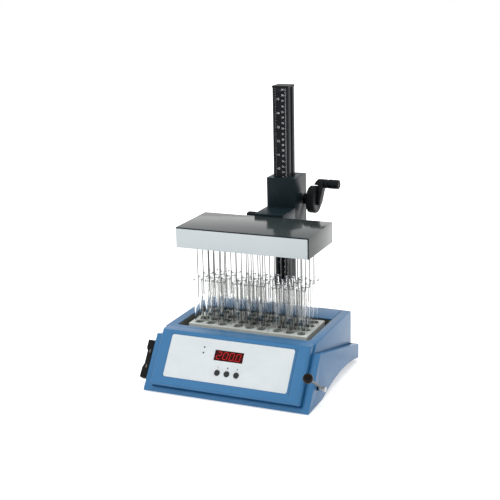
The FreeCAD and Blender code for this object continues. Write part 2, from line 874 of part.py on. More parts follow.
def power_rocker():
    body = new_body("rocker_body")
    profile = new_sketch(body, "YZ_Plane")
    outline(profile, [
        ("-rocker_depth", "rocker_half_length - 1.5"),
        ("rocker_proud", "rocker_half_length"),
        ("rocker_proud - rocker_dip", "0"),
        ("rocker_proud", "-rocker_half_length"),
        ("-rocker_depth", "1.5 - rocker_half_length"),
    ])
    pad(body, profile, "rocker_width", both_ways=True)
    pin = rod("rocker_pin_radius", ("-rocker_width / 2 - 1.3", "0", "0"), "rocker_width + 2.6", "X")
    rocker = group(fuse(body, pin))
    rocker.Placement = Placement(Vector(), Rotation(Vector(1, 0, 0), 1))
    bind(rocker, "Placement.Base.x", "-rocker_centre")
    bind(rocker, "Placement.Base.y", "heater_rear - rocker_inset")
    bind(rocker, "Placement.Base.z", "inlet_level")
    bind(rocker, "Placement.Rotation.Angle", "rocker_tilt")
    return group(rocker)


node("heater_shell", heater_shell(), "well")
node("heater_base_plate", heater_base_plate(), "well")
node("heater_pads", group(*[
    rod("8", (x, y, "floor_top"), "heater_bottom - floor_top")
    for x in ("-110", "110") for y in ("-100", "75")]), "well")
node("power_board", power_board(), "well")
node("insulation", insulation(), "well")
node("well_liner", well_liner(), "well")
node("heater_plate", heater_plate(), "well")
node("cartridge_heaters", group(*[
    rod("cartridge_radius", ("-plate_half", y, "plate_low + plate_thickness / 2"), "cartridge_length - 1", "X")
    for y in CARTRIDGES]), "well")
node("temperature_probe", group(rod("probe_radius",
                                    ("0", "plate_rear - probe_length + 1", "plate_low + plate_thickness / 2"),
                                    "probe_length - 1", "Y")), "well")
node("service_cover", group(block(("part_gap - well_half", "well_half - part_gap"),
                                  ("well_rear", "heater_rear"), ("deck_under", "deck_height"))), "well")
BLOCKS = {"left": "-block_pitch", "middle": "0", "right": "block_pitch"}
tube = sample_tube()
for name, across in BLOCKS.items():
    node("block_" + name, sample_block("block_" + name, across), "well")
    node("tubes_" + name, copies(tube, grid(across), "tube_base"), "well")
node("mains_inlet", mains_inlet(), "well")
node("power_rocker", power_rocker(), "well")


# Lift column with its rack and scale


def column():
    post = block(("-column_half", "column_half"), ("-column_half", "column_half"), ("floor_top", "column_top"))
    grooves = [block(across, ("-side_groove_width / 2", "side_groove_width / 2"),
                     ("floor_top - 1", "column_top + 1"))
               for across in (("-column_half - 1", "side_groove_depth - column_half"),
                              ("column_half - side_groove_depth", "column_half + 1"))]
    rack_groove = block(("-rack_groove / 2", "rack_groove / 2"),
                        ("column_half - rack_groove_depth", "column_half + 1"), ("floor_top - 1", "column_top + 1"))
    stud = rod("stud_radius + shaft_clearance", ("0", "0", "floor_top - 1"), "3")
    face = block(("-scale_width / 2 - guide_clearance", "scale_width / 2 + guide_clearance"),
                 ("-column_half - 1", "scale_recess - column_half"), ("scale_low", "scale_high"))
    return cut(post, face, stud, rack_groove, *grooves)


def column_cap():
    body = new_body("cap_body")
    half = "column_half + cap_overhang"
    profile = rectangle(new_sketch(body, "XY_Plane", "column_top"), ("-(%s)" % half, half), ("-(%s)" % half, half))
    plate = pad(body, profile, "cap_height")
    top = size("column_top") + size("cap_height") - 0.01
    round_edges(body, plate, "cap_overhang", lambda edge: edge.BoundBox.ZMin > top)
    return body


def column_foot():
    post = block(("-column_foot_width / 2", "column_foot_width / 2"), ("-column_foot_front", "column_foot_rear"),
                 ("floor_top", "floor_top + column_foot_height"))
    socket = block(("-column_half - socket_fit", "column_half + socket_fit"),
                   ("-column_half - socket_fit", "column_half + socket_fit"),
                   ("floor_top - 1", "floor_top + column_foot_height + 1"))
    bolts = [rod("stud_radius + shaft_clearance", (x, y, "floor_top - 1"), "18") for x, y in FOOT_BOLTS]
    stud = rod("stud_radius + button_gap", ("0", "0", "floor_top - 1"), "6")
    return cut(post, socket, stud, *bolts)


def foot_bolts():
    bolts = []
    for x, y in FOOT_BOLTS:
        shank = rod("stud_radius", (x, y, "floor_low"), "17")
        head = rod("stud_radius + 1.7", (x, y, "floor_low - 3"), "3")
        bolts.append(fuse(shank, head))
    return group(*bolts)


def rack_shape():
    """Straight-sided teeth with a gap opposite the pinion's axis."""
    module = size("rack_module")
    pitch = math.pi * module
    floor = size("column_side") / 2 - size("rack_groove_depth")
    line = floor + size("rack_pitch_height")
    left = -size("rack_width") / 2
    tilt = math.tan(math.radians(20))
    level = size("crank_level")
    points = [Vector(left, floor, size("rack_low"))]
    first = math.ceil((size("rack_low") - level) / pitch) + 1
    last = math.floor((size("rack_high") - level) / pitch) - 1
    for k in range(first, last):
        centre = level + (k + 0.5) * pitch
        for depth, side in ((-1.25, -1), (1, -1), (1, 1), (-1.25, 1)):
            half = pitch / 4 - depth * module * tilt
            points.append(Vector(left, line + depth * module, centre + side * half))
    root = line - 1.25 * module
    points.insert(1, Vector(left, root, size("rack_low")))
    points.append(Vector(left, root, size("rack_high")))
    points.append(Vector(left, floor, size("rack_high")))
    face = Part.Face(Part.makePolygon(points + points[:1]))
    return face.extrude(Vector(size("rack_width"), 0, 0))


def pinion_shape():
    """Involute teeth, one of them pointing at the rack, thinned for backlash."""
    module = size("rack_module")
    teeth = int(size("pinion_teeth"))
    left = -size("pinion_width") / 2
    pitch_radius = module * teeth / 2
    base = pitch_radius * math.cos(math.radians(20))
    outer = pitch_radius + module
    root = pitch_radius - 1.25 * module
    half_tooth = math.pi / 2 / teeth - size("tooth_backlash") / 2 / pitch_radius

    def spread(radius):
        pressure = math.acos(min(1, base / radius))
        return math.tan(pressure) - pressure

    radii = [base + (outer - base) * k / 3 for k in range(4)]
    flank = [(root, half_tooth + spread(pitch_radius))]
    flank += [(radius, half_tooth + spread(pitch_radius) - spread(radius)) for radius in radii]
    points = []
    for tooth in range(teeth):
        middle = -math.pi / 2 + 2 * math.pi * tooth / teeth
        for radius, angle in [(r, -a) for r, a in flank] + [(r, a) for r, a in reversed(flank)]:
            turn = middle + angle
            points.append(Vector(left, radius * math.sin(turn), radius * math.cos(turn)))
    face = Part.Face(Part.makePolygon(points + points[:1]))
    gear = face.extrude(Vector(size("pinion_width"), 0, 0))
    bore = Part.makeCylinder(size("shaft_radius") + 0.02, 2 * size("pinion_width"),
                             Vector(-size("pinion_width"), 0, 0), Vector(1, 0, 0))
    return gear.cut(bore)


def shaped(name, shape):
    item = doc.addObject("Part::Feature", name)
    item.Shape = shape
    item.Placement = Placement()
    return item


node("column", column())
node("column_cap", column_cap())
node("column_foot", column_foot())
node("foot_bolts", foot_bolts())
node("height_scale", group(block(("-scale_width / 2", "scale_width / 2"),
                                 ("scale_recess - column_half - scale_thickness", "scale_recess - column_half"),
                                 ("scale_low + 1", "scale_high - 1"))))
node("column_rack", shaped("rack", rack_shape()))


# Carriage, crank and pinion


def carriage_body():
    casting = block(("-carriage_left", "carriage_right"), ("-carriage_front", "carriage_rear"),
                    ("carriage_bottom", "carriage_top"))
    bore = block(("-guide_half", "guide_half"), ("-guide_half", "guide_half"),
                 ("carriage_bottom - 1", "carriage_top + 1"))
    gear_space = rod("rack_module * (pinion_teeth / 2 + 2)",
                     ("-pinion_width / 2 - 1", "pinion_axis", "crank_level"), "pinion_width + 2", "X")
    bushing = rod("bush_radius", ("-carriage_left + 4", "pinion_axis", "crank_level"),
                  "carriage_left + carriage_right", "X")
    bolts = [rod("bolt_radius + shaft_clearance", (x, "-carriage_front - 1", "arm_top - 20"), "20", "Y")
             for x in ("-9", "9")]
    heads = [rod("bolt_head + guide_clearance", (x, "-guide_half - bolt_head_height - 0.5", "arm_top - 20"),
                 "bolt_head_height + 2", "Y") for x in ("-9", "9")]
    return cut(casting, bore, gear_space, bushing, *bolts, *heads)


def guide_pads():
    """Four pads at each end of the carriage's bore, clear of the column."""
    pads = []
    face = "column_half + guide_clearance"
    for low in ("carriage_bottom + 1", "carriage_top - guide_height - 1"):
        level = (low, low + " + guide_height")
        width = ("-guide_width / 2", "guide_width / 2")
        inner = (face, "guide_half")
        outer = ("-guide_half", "-(%s)" % face)
        pads += [block(inner, width, level), block(outer, width, level)]
        pads += [block(width, inner, level), block(width, outer, level)]
    return group(*pads)


def shaft_bushes():
    bushes = []
    for start, length in (("4 - carriage_left", "carriage_left - 4 - pinion_width / 2 - 1"),
                          ("pinion_width / 2 + 1", "carriage_right - pinion_width / 2 - 1")):
        outer = rod("bush_radius", (start, "pinion_axis", "crank_level"), length, "X")
        bore = rod("shaft_radius + shaft_clearance", (start, "pinion_axis", "crank_level"), length, "X")
        bushes.append(cut(outer, bore))
    return group(*bushes)


def crank_knob():
    """The knurled disc with its hub, bored for the shaft from the inside."""
    body = new_body("knob_body")
    profile = new_sketch(body, "XZ_Plane")
    outline(profile, [
        ("0", "carriage_right + 1"),
        ("hub_radius", "carriage_right + 1"),
        ("hub_radius", "knob_start"),
        ("knob_radius - 2", "knob_start"),
        ("knob_radius", "knob_start + 2"),
        ("knob_radius", "knob_end - 2"),
        ("knob_radius - 2", "knob_end"),
        ("0", "knob_end"),
    ])
    spin(body, profile)
    turned = group(body)
    turned.Placement = Placement(Vector(), TURNS["X"])
    bore = rod("shaft_radius + 0.02", ("carriage_right", "0", "0"), "knob_start + 10 - carriage_right", "X")
    return cut(turned, bore)


def crank_arm():
    """An arm that climbs outwards from the knob's face to the grip."""
    body = new_body("arm_body")
    profile = new_sketch(body, "XZ_Plane")
    top = "arm_reach + arm_width / 2"
    outline(profile, [
        ("knob_end", "-arm_width / 2 - 2"),
        ("knob_end + 6", "-arm_width / 2 - 2"),
        ("arm_face", "arm_reach - arm_width / 2"),
        ("arm_face", top),
        ("knob_end - 1", top),
        ("knob_end - 8", "knob_radius + 1"),
        ("knob_end", "knob_radius + 1"),
    ])
    bar = pad(body, profile, "arm_width", both_ways=True)
    ends = (-size("arm_width") / 2 - 2, size("arm_reach") + size("arm_width") / 2)

    def end_corner(edge):
        level = edge.BoundBox.ZMin
        flat = edge.BoundBox.ZMax - level < 0.01
        return flat and along(edge, Vector(1, 0, 0)) and min(abs(level - end) for end in ends) < 0.01

    round_edges(body, bar, "arm_width / 2 - 0.5", end_corner)
    hole = rod("spindle_radius + 0.02", ("knob_end - 1", "0", "arm_reach"), "arm_offset + 2", "X")
    return cut(body, hole)


def crank_grip():
    body = new_body("grip_body")
    profile = new_sketch(body, "XZ_Plane")
    bore = "spindle_radius + shaft_clearance"
    outline(profile, [
        (bore, "arm_face + 1"),
        ("grip_radius - 1", "arm_face + 1"),
        ("grip_radius", "arm_face + 2"),
        ("grip_radius", "arm_face + grip_length - 2"),
        ("grip_radius - 2", "arm_face + 1 + grip_length"),
        ("0", "arm_face + 1 + grip_length"),
        ("0", "arm_face + grip_length - 3"),
        (bore, "arm_face + grip_length - 3"),
    ])
    spin(body, profile)
    turned = group(body)
    turned.Placement = Placement(Vector(), TURNS["X"])
    bind(turned, "Placement.Base.z", "arm_reach")
    return group(turned)


node("carriage_body", carriage_body())
node("guide_pads", guide_pads())
node("shaft_bushes", shaft_bushes())
node("pinion_shaft", group(rod("shaft_radius", ("4.5 - carriage_left", "0", "0"),
                               "knob_start + 9 + carriage_left - 4.5", "X")), "crank")
node("pinion", shaped("pinion_gear", pinion_shape()))
bind(NODES[-1], "Placement.Base.y", "pinion_axis")
bind(NODES[-1], "Placement.Base.z", "crank_level")
node("crank_knob", crank_knob(), "crank")
node("crank_arm", crank_arm(), "crank")
node("grip_spindle", group(rod("spindle_radius", ("knob_end", "0", "arm_reach"),
                               "arm_offset + grip_length - 5", "X")),
     "crank")
node("crank_grip", crank_grip(), "crank")


# Gas head

NEEDLES = [place for across in BLOCKS.values() for place in grid(across)]
HEAD_BOLTS = ("-14", "19")


def needle_holes(radius, low, length):
    return [rod(radius, (x, y, low), length) for x, y in NEEDLES]


def head_arm():
    bar = block(("-carriage_left", "carriage_right"), ("arm_head_end", "-carriage_front"), ("arm_bottom", "arm_top"))
    socket = rod("inlet_radius - 2 + guide_clearance", ("-carriage_left - 1", "inlet_along", "gas_level"), "9", "X")
    crossing = rod("gas_passage", ("-carriage_left - 1", "inlet_along", "gas_level"), "carriage_left + 1", "X")
    forward = rod("gas_passage", ("0", "arm_head_end - 1", "gas_level"), "inlet_along - arm_head_end + 1", "Y")
    front = [rod("bolt_radius + shaft_clearance", (x, "arm_head_end - 1", "arm_top - 20"), "14", "Y")
             for x in HEAD_BOLTS]
    rear = [rod("bolt_radius + shaft_clearance", (x, "-carriage_front - 13", "arm_top - 20"), "14", "Y")
            for x in ("-9", "9")]
    return cut(bar, socket, crossing, forward, *front, *rear)


def head_bolts():
    bolts = []
    reach = "8"
    for x in HEAD_BOLTS:
        inner = "arm_head_end - cover_wall"
        shank = rod("bolt_radius", (x, inner, "arm_top - 20"), "cover_wall + " + reach, "Y")
        head = rod("bolt_head", (x, inner + " - bolt_head_height", "arm_top - 20"), "bolt_head_height", "Y")
        bolts.append(fuse(shank, head))
    for x in ("-9", "9"):
        seat = "-guide_half - 0.5"
        shank = rod("bolt_radius", (x, "-carriage_front - " + reach, "arm_top - 20"),
                    "carriage_front - guide_half + " + reach + " - 1", "Y")
        head = rod("bolt_head", (x, seat + " - bolt_head_height", "arm_top - 20"), "bolt_head_height", "Y")
        bolts.append(fuse(shank, head))
    return group(*bolts)


def chamber_cover():
    """Top, ends and back of the head in one folded sheet, open below and in front."""
    outer = block(("-head_half", "head_half"), ("front_plate - head_front", "head_rear"),
                  ("head_bottom", "head_top"))
    inner = block(("cover_wall - head_half", "head_half - cover_wall"),
                  ("-2 * head_front", "head_rear - cover_wall"), ("0", "head_top - cover_wall"))
    bolts = [rod("bolt_radius + guide_clearance", (x, "head_rear - 2 * cover_wall", "arm_top - 20"),
                 "3 * cover_wall", "Y") for x in HEAD_BOLTS]
    gas = rod("gas_passage", ("0", "head_rear - 2 * cover_wall", "gas_level"), "3 * cover_wall", "Y")
    return cut(outer, inner, gas, *bolts)


def gas_chamber():
    outer = block(("-plenum_width / 2", "plenum_width / 2"),
                  ("plenum_centre - plenum_depth / 2", "plenum_centre + plenum_depth / 2"),
                  ("mat_top", "plenum_top"))
    inner = block(("plenum_wall - plenum_width / 2", "plenum_width / 2 - plenum_wall"),
                  ("plenum_centre - plenum_depth / 2 + plenum_wall",
                   "plenum_centre + plenum_depth / 2 - plenum_wall"),
                  ("mat_top - 1", "plenum_top - cover_wall * 2"))
    inlet = rod("gas_passage", ("0", "plenum_centre", "plenum_top - 9"), "plenum_depth", "Y")
    screws = [rod("1.5 + shaft_clearance", (x, y, "mat_top - 1"), "11") for x, y in PLATE_SCREWS]
    return cut(outer, inner, inlet, *screws)


PLATE_SCREWS = [(x, y) for x in ("-111", "-37", "37", "111")
                for y in ("plenum_centre - plenum_depth / 2 + 3", "plenum_centre + plenum_depth / 2 - 3")]


def needle_plate():
    plate = block(("cover_wall + part_gap - head_half", "head_half - cover_wall - part_gap"),
                  ("front_plate + part_gap - head_front", "head_rear - cover_wall - part_gap"),
                  ("head_bottom", "plate_top"))
    screws = [rod("1.5 + guide_clearance", (x, y, "head_bottom - 1"), "needle_plate + 2") for x, y in PLATE_SCREWS]
    return cut(plate, *needle_holes("needle_radius + part_gap", "head_bottom - 1", "needle_plate + 2"), *screws)


def septum_mat():
    mat = block(("-plenum_width / 2", "plenum_width / 2"),
                ("plenum_centre - plenum_depth / 2", "plenum_centre + plenum_depth / 2"), ("plate_top", "mat_top"))
    screws = [rod("1.5 + guide_clearance", (x, y, "plate_top - 1"), "mat_thickness + 2") for x, y in PLATE_SCREWS]
    return cut(mat, *needle_holes("needle_radius + 0.01", "plate_top - 1", "mat_thickness + 2"), *screws)


def needle():
    length = "mat_top + needle_rise - needle_tip"
    return cut(rod("needle_radius", ("0", "0", "0"), length), rod("needle_bore", ("0", "0", "-1"), length + " + 2"))


def plate_screws():
    screws = []
    for x, y in PLATE_SCREWS:
        shank = rod("1.5", (x, y, "head_bottom"), "needle_plate + mat_thickness + 9")
        head = rod("3", (x, y, "head_bottom - 2"), "2")
        screws.append(fuse(shank, head))
    return group(*screws)


def gas_inlet():
    """A push-in fitting for the gas hose, screwed into the arm's left side."""
    start = "-carriage_left - inlet_body_length"
    stem = rod("inlet_radius - 2", ("-carriage_left", "inlet_along", "gas_level"), "7", "X")
    barrel = rod("inlet_radius", (start, "inlet_along", "gas_level"), "inlet_body_length", "X")
    collet = rod("inlet_radius - 1.5", (start + " - 2", "inlet_along", "gas_level"), "2", "X")
    hose = rod("inlet_bore", (start + " - 3", "inlet_along", "gas_level"), "inlet_hole_depth + 3", "X")
    passage = rod("gas_passage", (start, "inlet_along", "gas_level"), "inlet_body_length + 8", "X")
    return cut(fuse(stem, barrel, collet), hose, passage)


node("head_arm", head_arm())
node("head_bolts", head_bolts())
node("chamber_cover", chamber_cover(), "well")
node("chamber_front", group(block(("-head_half", "head_half"), ("-head_front", "front_plate - head_front"),
                                  ("head_bottom", "head_top"))), "well")
node("gas_chamber", gas_chamber(), "well")
node("needle_plate", needle_plate(), "well")
node("septum_mat", septum_mat(), "well")
node("needles", copies(needle(), NEEDLES, "needle_tip"), "well")
node("plate_screws", plate_screws(), "well")
node("gas_inlet", gas_inlet())


# Lever on the right wall and grip on the left wall


def lever_bush():
    outer = rod("lever_shaft_radius + shaft_clearance + bush_wall - 0.02",
                ("cradle_inner - 1", "lever_along", "lever_level"), "cradle_wall + 3", "X")
    bore = rod("lever_shaft_radius + shaft_clearance", ("cradle_inner - 2", "lever_along", "lever_level"),
               "cradle_wall + 5", "X")
    return cut(outer, bore)


def lever_shaft():
    shaft = rod("lever_shaft_radius", ("cradle_inner - 4", "lever_along", "lever_level"),
                "lever_plane - cradle_inner + 4", "X")
    hub = rod("lever_hub_radius", ("lever_plane - lever_hub_length / 2", "lever_along", "lever_level"),
              "lever_hub_length", "X")
    clip = rod("lever_shaft_radius + 1.5", ("cradle_inner - 3.5", "lever_along", "lever_level"), "2", "X")
    return fuse(shaft, hub, clip)


def lever_rod():
    """A rod from the hub's rim to the ball, rising to the front."""
    stick = rod("lever_rod_radius", ("0", "0", "lever_hub_radius"), "lever_length - lever_hub_radius - 4")
    turned = group(stick)
    turned.Placement = Placement(Vector(), Rotation(Vector(1, 0, 0), 1))
    bind(turned, "Placement.Base.x", "lever_plane")
    bind(turned, "Placement.Base.y", "lever_along")
    bind(turned, "Placement.Base.z", "lever_level")
    bind(turned, "Placement.Rotation.Angle", "90 - lever_angle")
    hub = rod("lever_hub_radius + 0.02", ("lever_plane - lever_hub_length", "lever_along", "lever_level"),
              "2 * lever_hub_length", "X")
    return cut(turned, hub)


def lever_ball():
    knob = ball("lever_ball_radius", ("0", "0", "lever_length"))
    hole = rod("lever_rod_radius + 0.02", ("0", "0", "0"), "lever_length - 3.9")
    turned = cut(knob, hole)
    turned.Placement = Placement(Vector(), Rotation(Vector(1, 0, 0), 1))
    bind(turned, "Placement.Base.x", "lever_plane")
    bind(turned, "Placement.Base.y", "lever_along")
    bind(turned, "Placement.Base.z", "lever_level")
    bind(turned, "Placement.Rotation.Angle", "90 - lever_angle")
    return group(turned)


def side_grip():
    """A waisted grip along the slanted edge, on two blocks that meet the wall."""
    body = new_body("side_grip_body")
    wall = "-cradle_half"
    waist_low = "side_grip_low + side_grip_block"
    waist_high = "side_grip_high - side_grip_block"
    profile = new_sketch(body, "XY_Plane", "-panel_proud - side_grip_recess - side_grip_width")
    outline(profile, [
        (wall, "side_grip_low"),
        (wall, waist_low + " - 4"),
        (wall + " - 2.5", waist_low),
        (wall + " - 2.5", waist_high),
        (wall, waist_high + " + 4"),
        (wall, "side_grip_high"),
        (wall + " - side_grip_proud", "side_grip_high"),
        (wall + " - side_grip_proud", waist_high + " + 2"),
        (wall + " - side_grip_waist", waist_high + " - 3"),
        (wall + " - side_grip_waist", waist_low + " + 8"),
        (wall + " - side_grip_proud", waist_low),
        (wall + " - side_grip_proud", "side_grip_low"),
    ])
    pad(body, profile, "side_grip_width")
    return cut(body, *[grip_hole(level, "bolt_radius + 0.02") for level in GRIP_ENDS])


def grip_screws():
    screws = []
    for level in GRIP_ENDS:
        depth = "-panel_proud - side_grip_recess - side_grip_width / 2"
        shank = rod("bolt_radius", ("-cradle_half - 5", level, depth), "5 + cradle_wall", "X")
        head = rod("bolt_head", ("cradle_wall - cradle_half", level, depth), "2.5", "X")
        screws.append(fuse(shank, head))
    return group(*screws)


node("lever_bush", lever_bush(), "well")
node("lever_shaft", lever_shaft(), "well")
node("lever_rod", lever_rod(), "well")
node("lever_ball", lever_ball(), "well")
node("side_grip", side_grip(), "panel")
node("grip_screws", grip_screws(), "panel")


doc.recompute()
faults = [item.Label for item in doc.Objects if "Invalid" in item.State or "Error" in item.State]
faults += [item.Label for item in NODES if item.Shape.isNull() or not item.Shape.isValid()]
if faults:
    raise RuntimeError("failed: " + ", ".join(faults))
os.makedirs("parts", exist_ok=True)
for item in NODES:
    item.Shape.exportStep("parts/%s.step" % item.Label)
print(len(NODES), "parts")
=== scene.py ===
import math

import bpy
from mathutils import Matrix, Vector


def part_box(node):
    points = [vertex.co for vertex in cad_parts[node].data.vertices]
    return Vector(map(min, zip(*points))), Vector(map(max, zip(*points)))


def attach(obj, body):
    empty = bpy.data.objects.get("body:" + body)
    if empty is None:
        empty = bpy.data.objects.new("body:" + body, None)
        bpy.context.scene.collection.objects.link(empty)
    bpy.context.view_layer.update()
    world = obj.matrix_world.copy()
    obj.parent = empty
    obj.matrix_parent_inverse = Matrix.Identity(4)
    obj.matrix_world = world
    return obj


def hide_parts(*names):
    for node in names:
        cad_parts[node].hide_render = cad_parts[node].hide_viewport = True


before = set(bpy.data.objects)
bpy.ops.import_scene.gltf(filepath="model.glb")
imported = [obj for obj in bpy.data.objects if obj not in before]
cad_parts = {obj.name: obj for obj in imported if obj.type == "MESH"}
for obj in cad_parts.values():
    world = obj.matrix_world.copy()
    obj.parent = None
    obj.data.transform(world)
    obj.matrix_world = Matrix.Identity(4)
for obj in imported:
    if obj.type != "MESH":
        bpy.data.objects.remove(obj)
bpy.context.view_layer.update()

# Nitrogen sample evaporator: a block heater with glass tubes under a crank-raised gas head.
# Lengths are written in millimetres and turned into metres by MM; only lamps and the floor are in metres.
# Places run across, back and up from the spot on the floor under the column's middle.

MM = 0.001
bpy.ops.object.select_all(action="DESELECT")

PRINT = 0.05
COLUMN_TO_WELL = 145
PANEL_SLANT = 35.5
PANEL_BOTTOM = 17.9
PANEL_PROUD = 12.5
CRADLE_FRONT = 150
CRANK_LEAN = 16
CRANK_BACK = 20
CRANK_LEVEL = 288

slope = math.radians(PANEL_SLANT)
panel_front = -CRADLE_FRONT + PANEL_BOTTOM * math.tan(slope) - PANEL_PROUD / math.cos(slope) - COLUMN_TO_WELL
PANEL = (Matrix.Translation(Vector((0, panel_front, PANEL_BOTTOM)) * MM)
         @ Matrix.Rotation(math.radians(90) - slope, 4, "X"))
CRANK = (Matrix.Translation(Vector((0, CRANK_BACK, CRANK_LEVEL)) * MM)
         @ Matrix.Rotation(math.radians(-CRANK_LEAN), 4, "X"))
LENGTHWAYS = Matrix.Rotation(math.radians(90), 4, "Y")
FACING_FRONT = Matrix.Rotation(math.radians(90), 4, "X")


def at(x, y, z):
    return Matrix.Translation(Vector((x, y, z)) * MM)


# Modelling helpers


def only(piece):
    """Select one piece alone and make it the active one."""
    bpy.ops.object.select_all(action="DESELECT")
    piece.select_set(True)
    bpy.context.view_layer.objects.active = piece
    return piece


def place(piece, turn):
    """Move a piece to its place and keep the place in its mesh."""
    piece.data.transform(turn)
    piece.data.update()
    return piece


def apply_modifiers(piece):
    only(piece)
    for modifier in list(piece.modifiers):
        bpy.ops.object.modifier_apply(modifier=modifier.name)
    return piece


def shade(piece, angle=35):
    only(piece)
    bpy.ops.object.shade_smooth_by_angle(angle=math.radians(angle))
    return piece


def soften(piece, width, segments=3, angle=30):
    """Round every edge that is sharper than the angle."""
    bevel = piece.modifiers.new("soft_edges", "BEVEL")
    bevel.width = width * MM
    bevel.segments = segments
    bevel.limit_method = "ANGLE"
    bevel.angle_limit = math.radians(angle)
    bevel.use_clamp_overlap = True
    bevel.miter_outer = "MITER_ARC"
    apply_modifiers(piece)
    return shade(piece)


SAME_POINT = 0.002
SAME_FACE = math.radians(0.6)


def copy_of(node, name, flatten=True):
    """A merged copy of a frame node, ready for edge work; a face with a window in it isn't flattened."""
    piece = bpy.data.objects.new(name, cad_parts[node].data.copy())
    bpy.context.collection.objects.link(piece)
    piece.data.materials.clear()
    only(piece)
    bpy.ops.object.mode_set(mode="EDIT")
    bpy.ops.mesh.select_all(action="SELECT")
    bpy.ops.mesh.remove_doubles(threshold=SAME_POINT * MM)
    if flatten:
        bpy.ops.mesh.dissolve_limited(angle_limit=SAME_FACE)
    else:
        bpy.ops.mesh.tris_convert_to_quads(face_threshold=SAME_FACE, shape_threshold=math.radians(180))
    bpy.ops.object.mode_set(mode="OBJECT")
    return piece


def bar(name, low, high):
    """A box between two corners."""
    low, high = Vector(low), Vector(high)
    bpy.ops.mesh.primitive_cube_add(size=1, location=(0, 0, 0))
    piece = bpy.context.active_object
    piece.name = name
    size = high - low
    place(piece, at(*((low + high) / 2)) @ Matrix.Diagonal((size * MM).to_4d()))
    return piece


def turned(name, rings, sides=48):
    """A turned piece from rings of radius and height; it closes itself at both ends."""
    radius, height = rings[0]
    bpy.ops.mesh.primitive_circle_add(vertices=sides, radius=radius * MM, location=(0, 0, 0), fill_type="NOTHING")
    piece = bpy.context.active_object
    piece.name = name
    place(piece, at(0, 0, height))
    bpy.ops.object.mode_set(mode="EDIT")
    bpy.ops.mesh.select_all(action="SELECT")
    bpy.ops.mesh.extrude_region_move()
    bpy.ops.mesh.edge_face_add()
    bpy.ops.mesh.select_all(action="DESELECT")
    bpy.ops.object.mode_set(mode="OBJECT")
    for index, vertex in enumerate(piece.data.vertices):
        vertex.select = index < sides
    bpy.ops.object.mode_set(mode="EDIT")
    for new_radius, new_height in rings[1:]:
        bpy.ops.mesh.extrude_region_move(
            TRANSFORM_OT_translate={"value": (0, 0, (new_height - height) * MM)})
        scale = new_radius / radius
        bpy.ops.transform.resize(value=(scale, scale, 1), center_override=(0, 0, new_height * MM))
        radius, height = new_radius, new_height
    bpy.ops.mesh.edge_face_add()
    bpy.ops.mesh.select_all(action="SELECT")
    bpy.ops.mesh.remove_doubles(threshold=0.001 * MM)
    bpy.ops.mesh.normals_make_consistent(inside=False)
    bpy.ops.object.mode_set(mode="OBJECT")
    return shade(piece)


def copies(piece, places):
    """The piece itself and its copies, each with its own mesh, at a list of places."""
    made = []
    for index in range(len(places)):
        copy = piece if index == len(places) - 1 else piece.copy()
        if copy is not piece:
            copy.data = piece.data.copy()
            bpy.context.collection.objects.link(copy)
        made.append(copy)
    for copy, turn in zip(made, places):
        place(copy, turn)
    return made


def joined(pieces, name):
    bpy.ops.object.select_all(action="DESELECT")
    for piece in pieces:
        piece.select_set(True)
    bpy.context.view_layer.objects.active = pieces[0]
    bpy.ops.object.join()
    pieces[0].name = name
    return pieces[0]


CAPITAL_SHARE = 1.4


def lettering(name, words, height, thickness, turn):
    """Plain figures as a thin solid, centred on their place."""
    bpy.ops.object.text_add(location=(0, 0, 0))
    text = bpy.context.active_object
    text.name = name
    text.data.body = words
    text.data.size = height * MM * CAPITAL_SHARE
    text.data.align_x = "CENTER"
    text.data.align_y = "CENTER"
    text.data.extrude = thickness * MM / 2
    text.data.resolution_u = 3
    bpy.ops.object.convert(target="MESH")
    return place(bpy.context.active_object, turn)


def ready(piece, body, slot, material, *nodes):
    """Give a finished piece its material, its body and the nodes that it stands for."""
    piece.data.materials.clear()
    piece.data.materials.append(material)
    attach(piece, body)
    if nodes:
        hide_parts(*nodes)
    return piece


def keep(node, material):
    """A frame node that stays as it is, in a better material."""
    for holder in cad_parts[node].material_slots:
        holder.material = material


# Materials. The shine is a refractive index. The dark parts have a lower one than real paint and plastic, so
# that they render as dark as in the photograph, and so has the glass, so that the needles show inside it.


def tone(red, green, blue):
    """A colour given in 0 to 255 steps, as the shader wants it."""
    linear = []
    for step in (red, green, blue):
        share = step / 255
        linear.append(share / 12.92 if share <= 0.04045 else ((share + 0.055) / 1.055) ** 2.4)
    return (*linear, 1)


NOISE_LOW = 0.3
NOISE_HIGH = 0.7


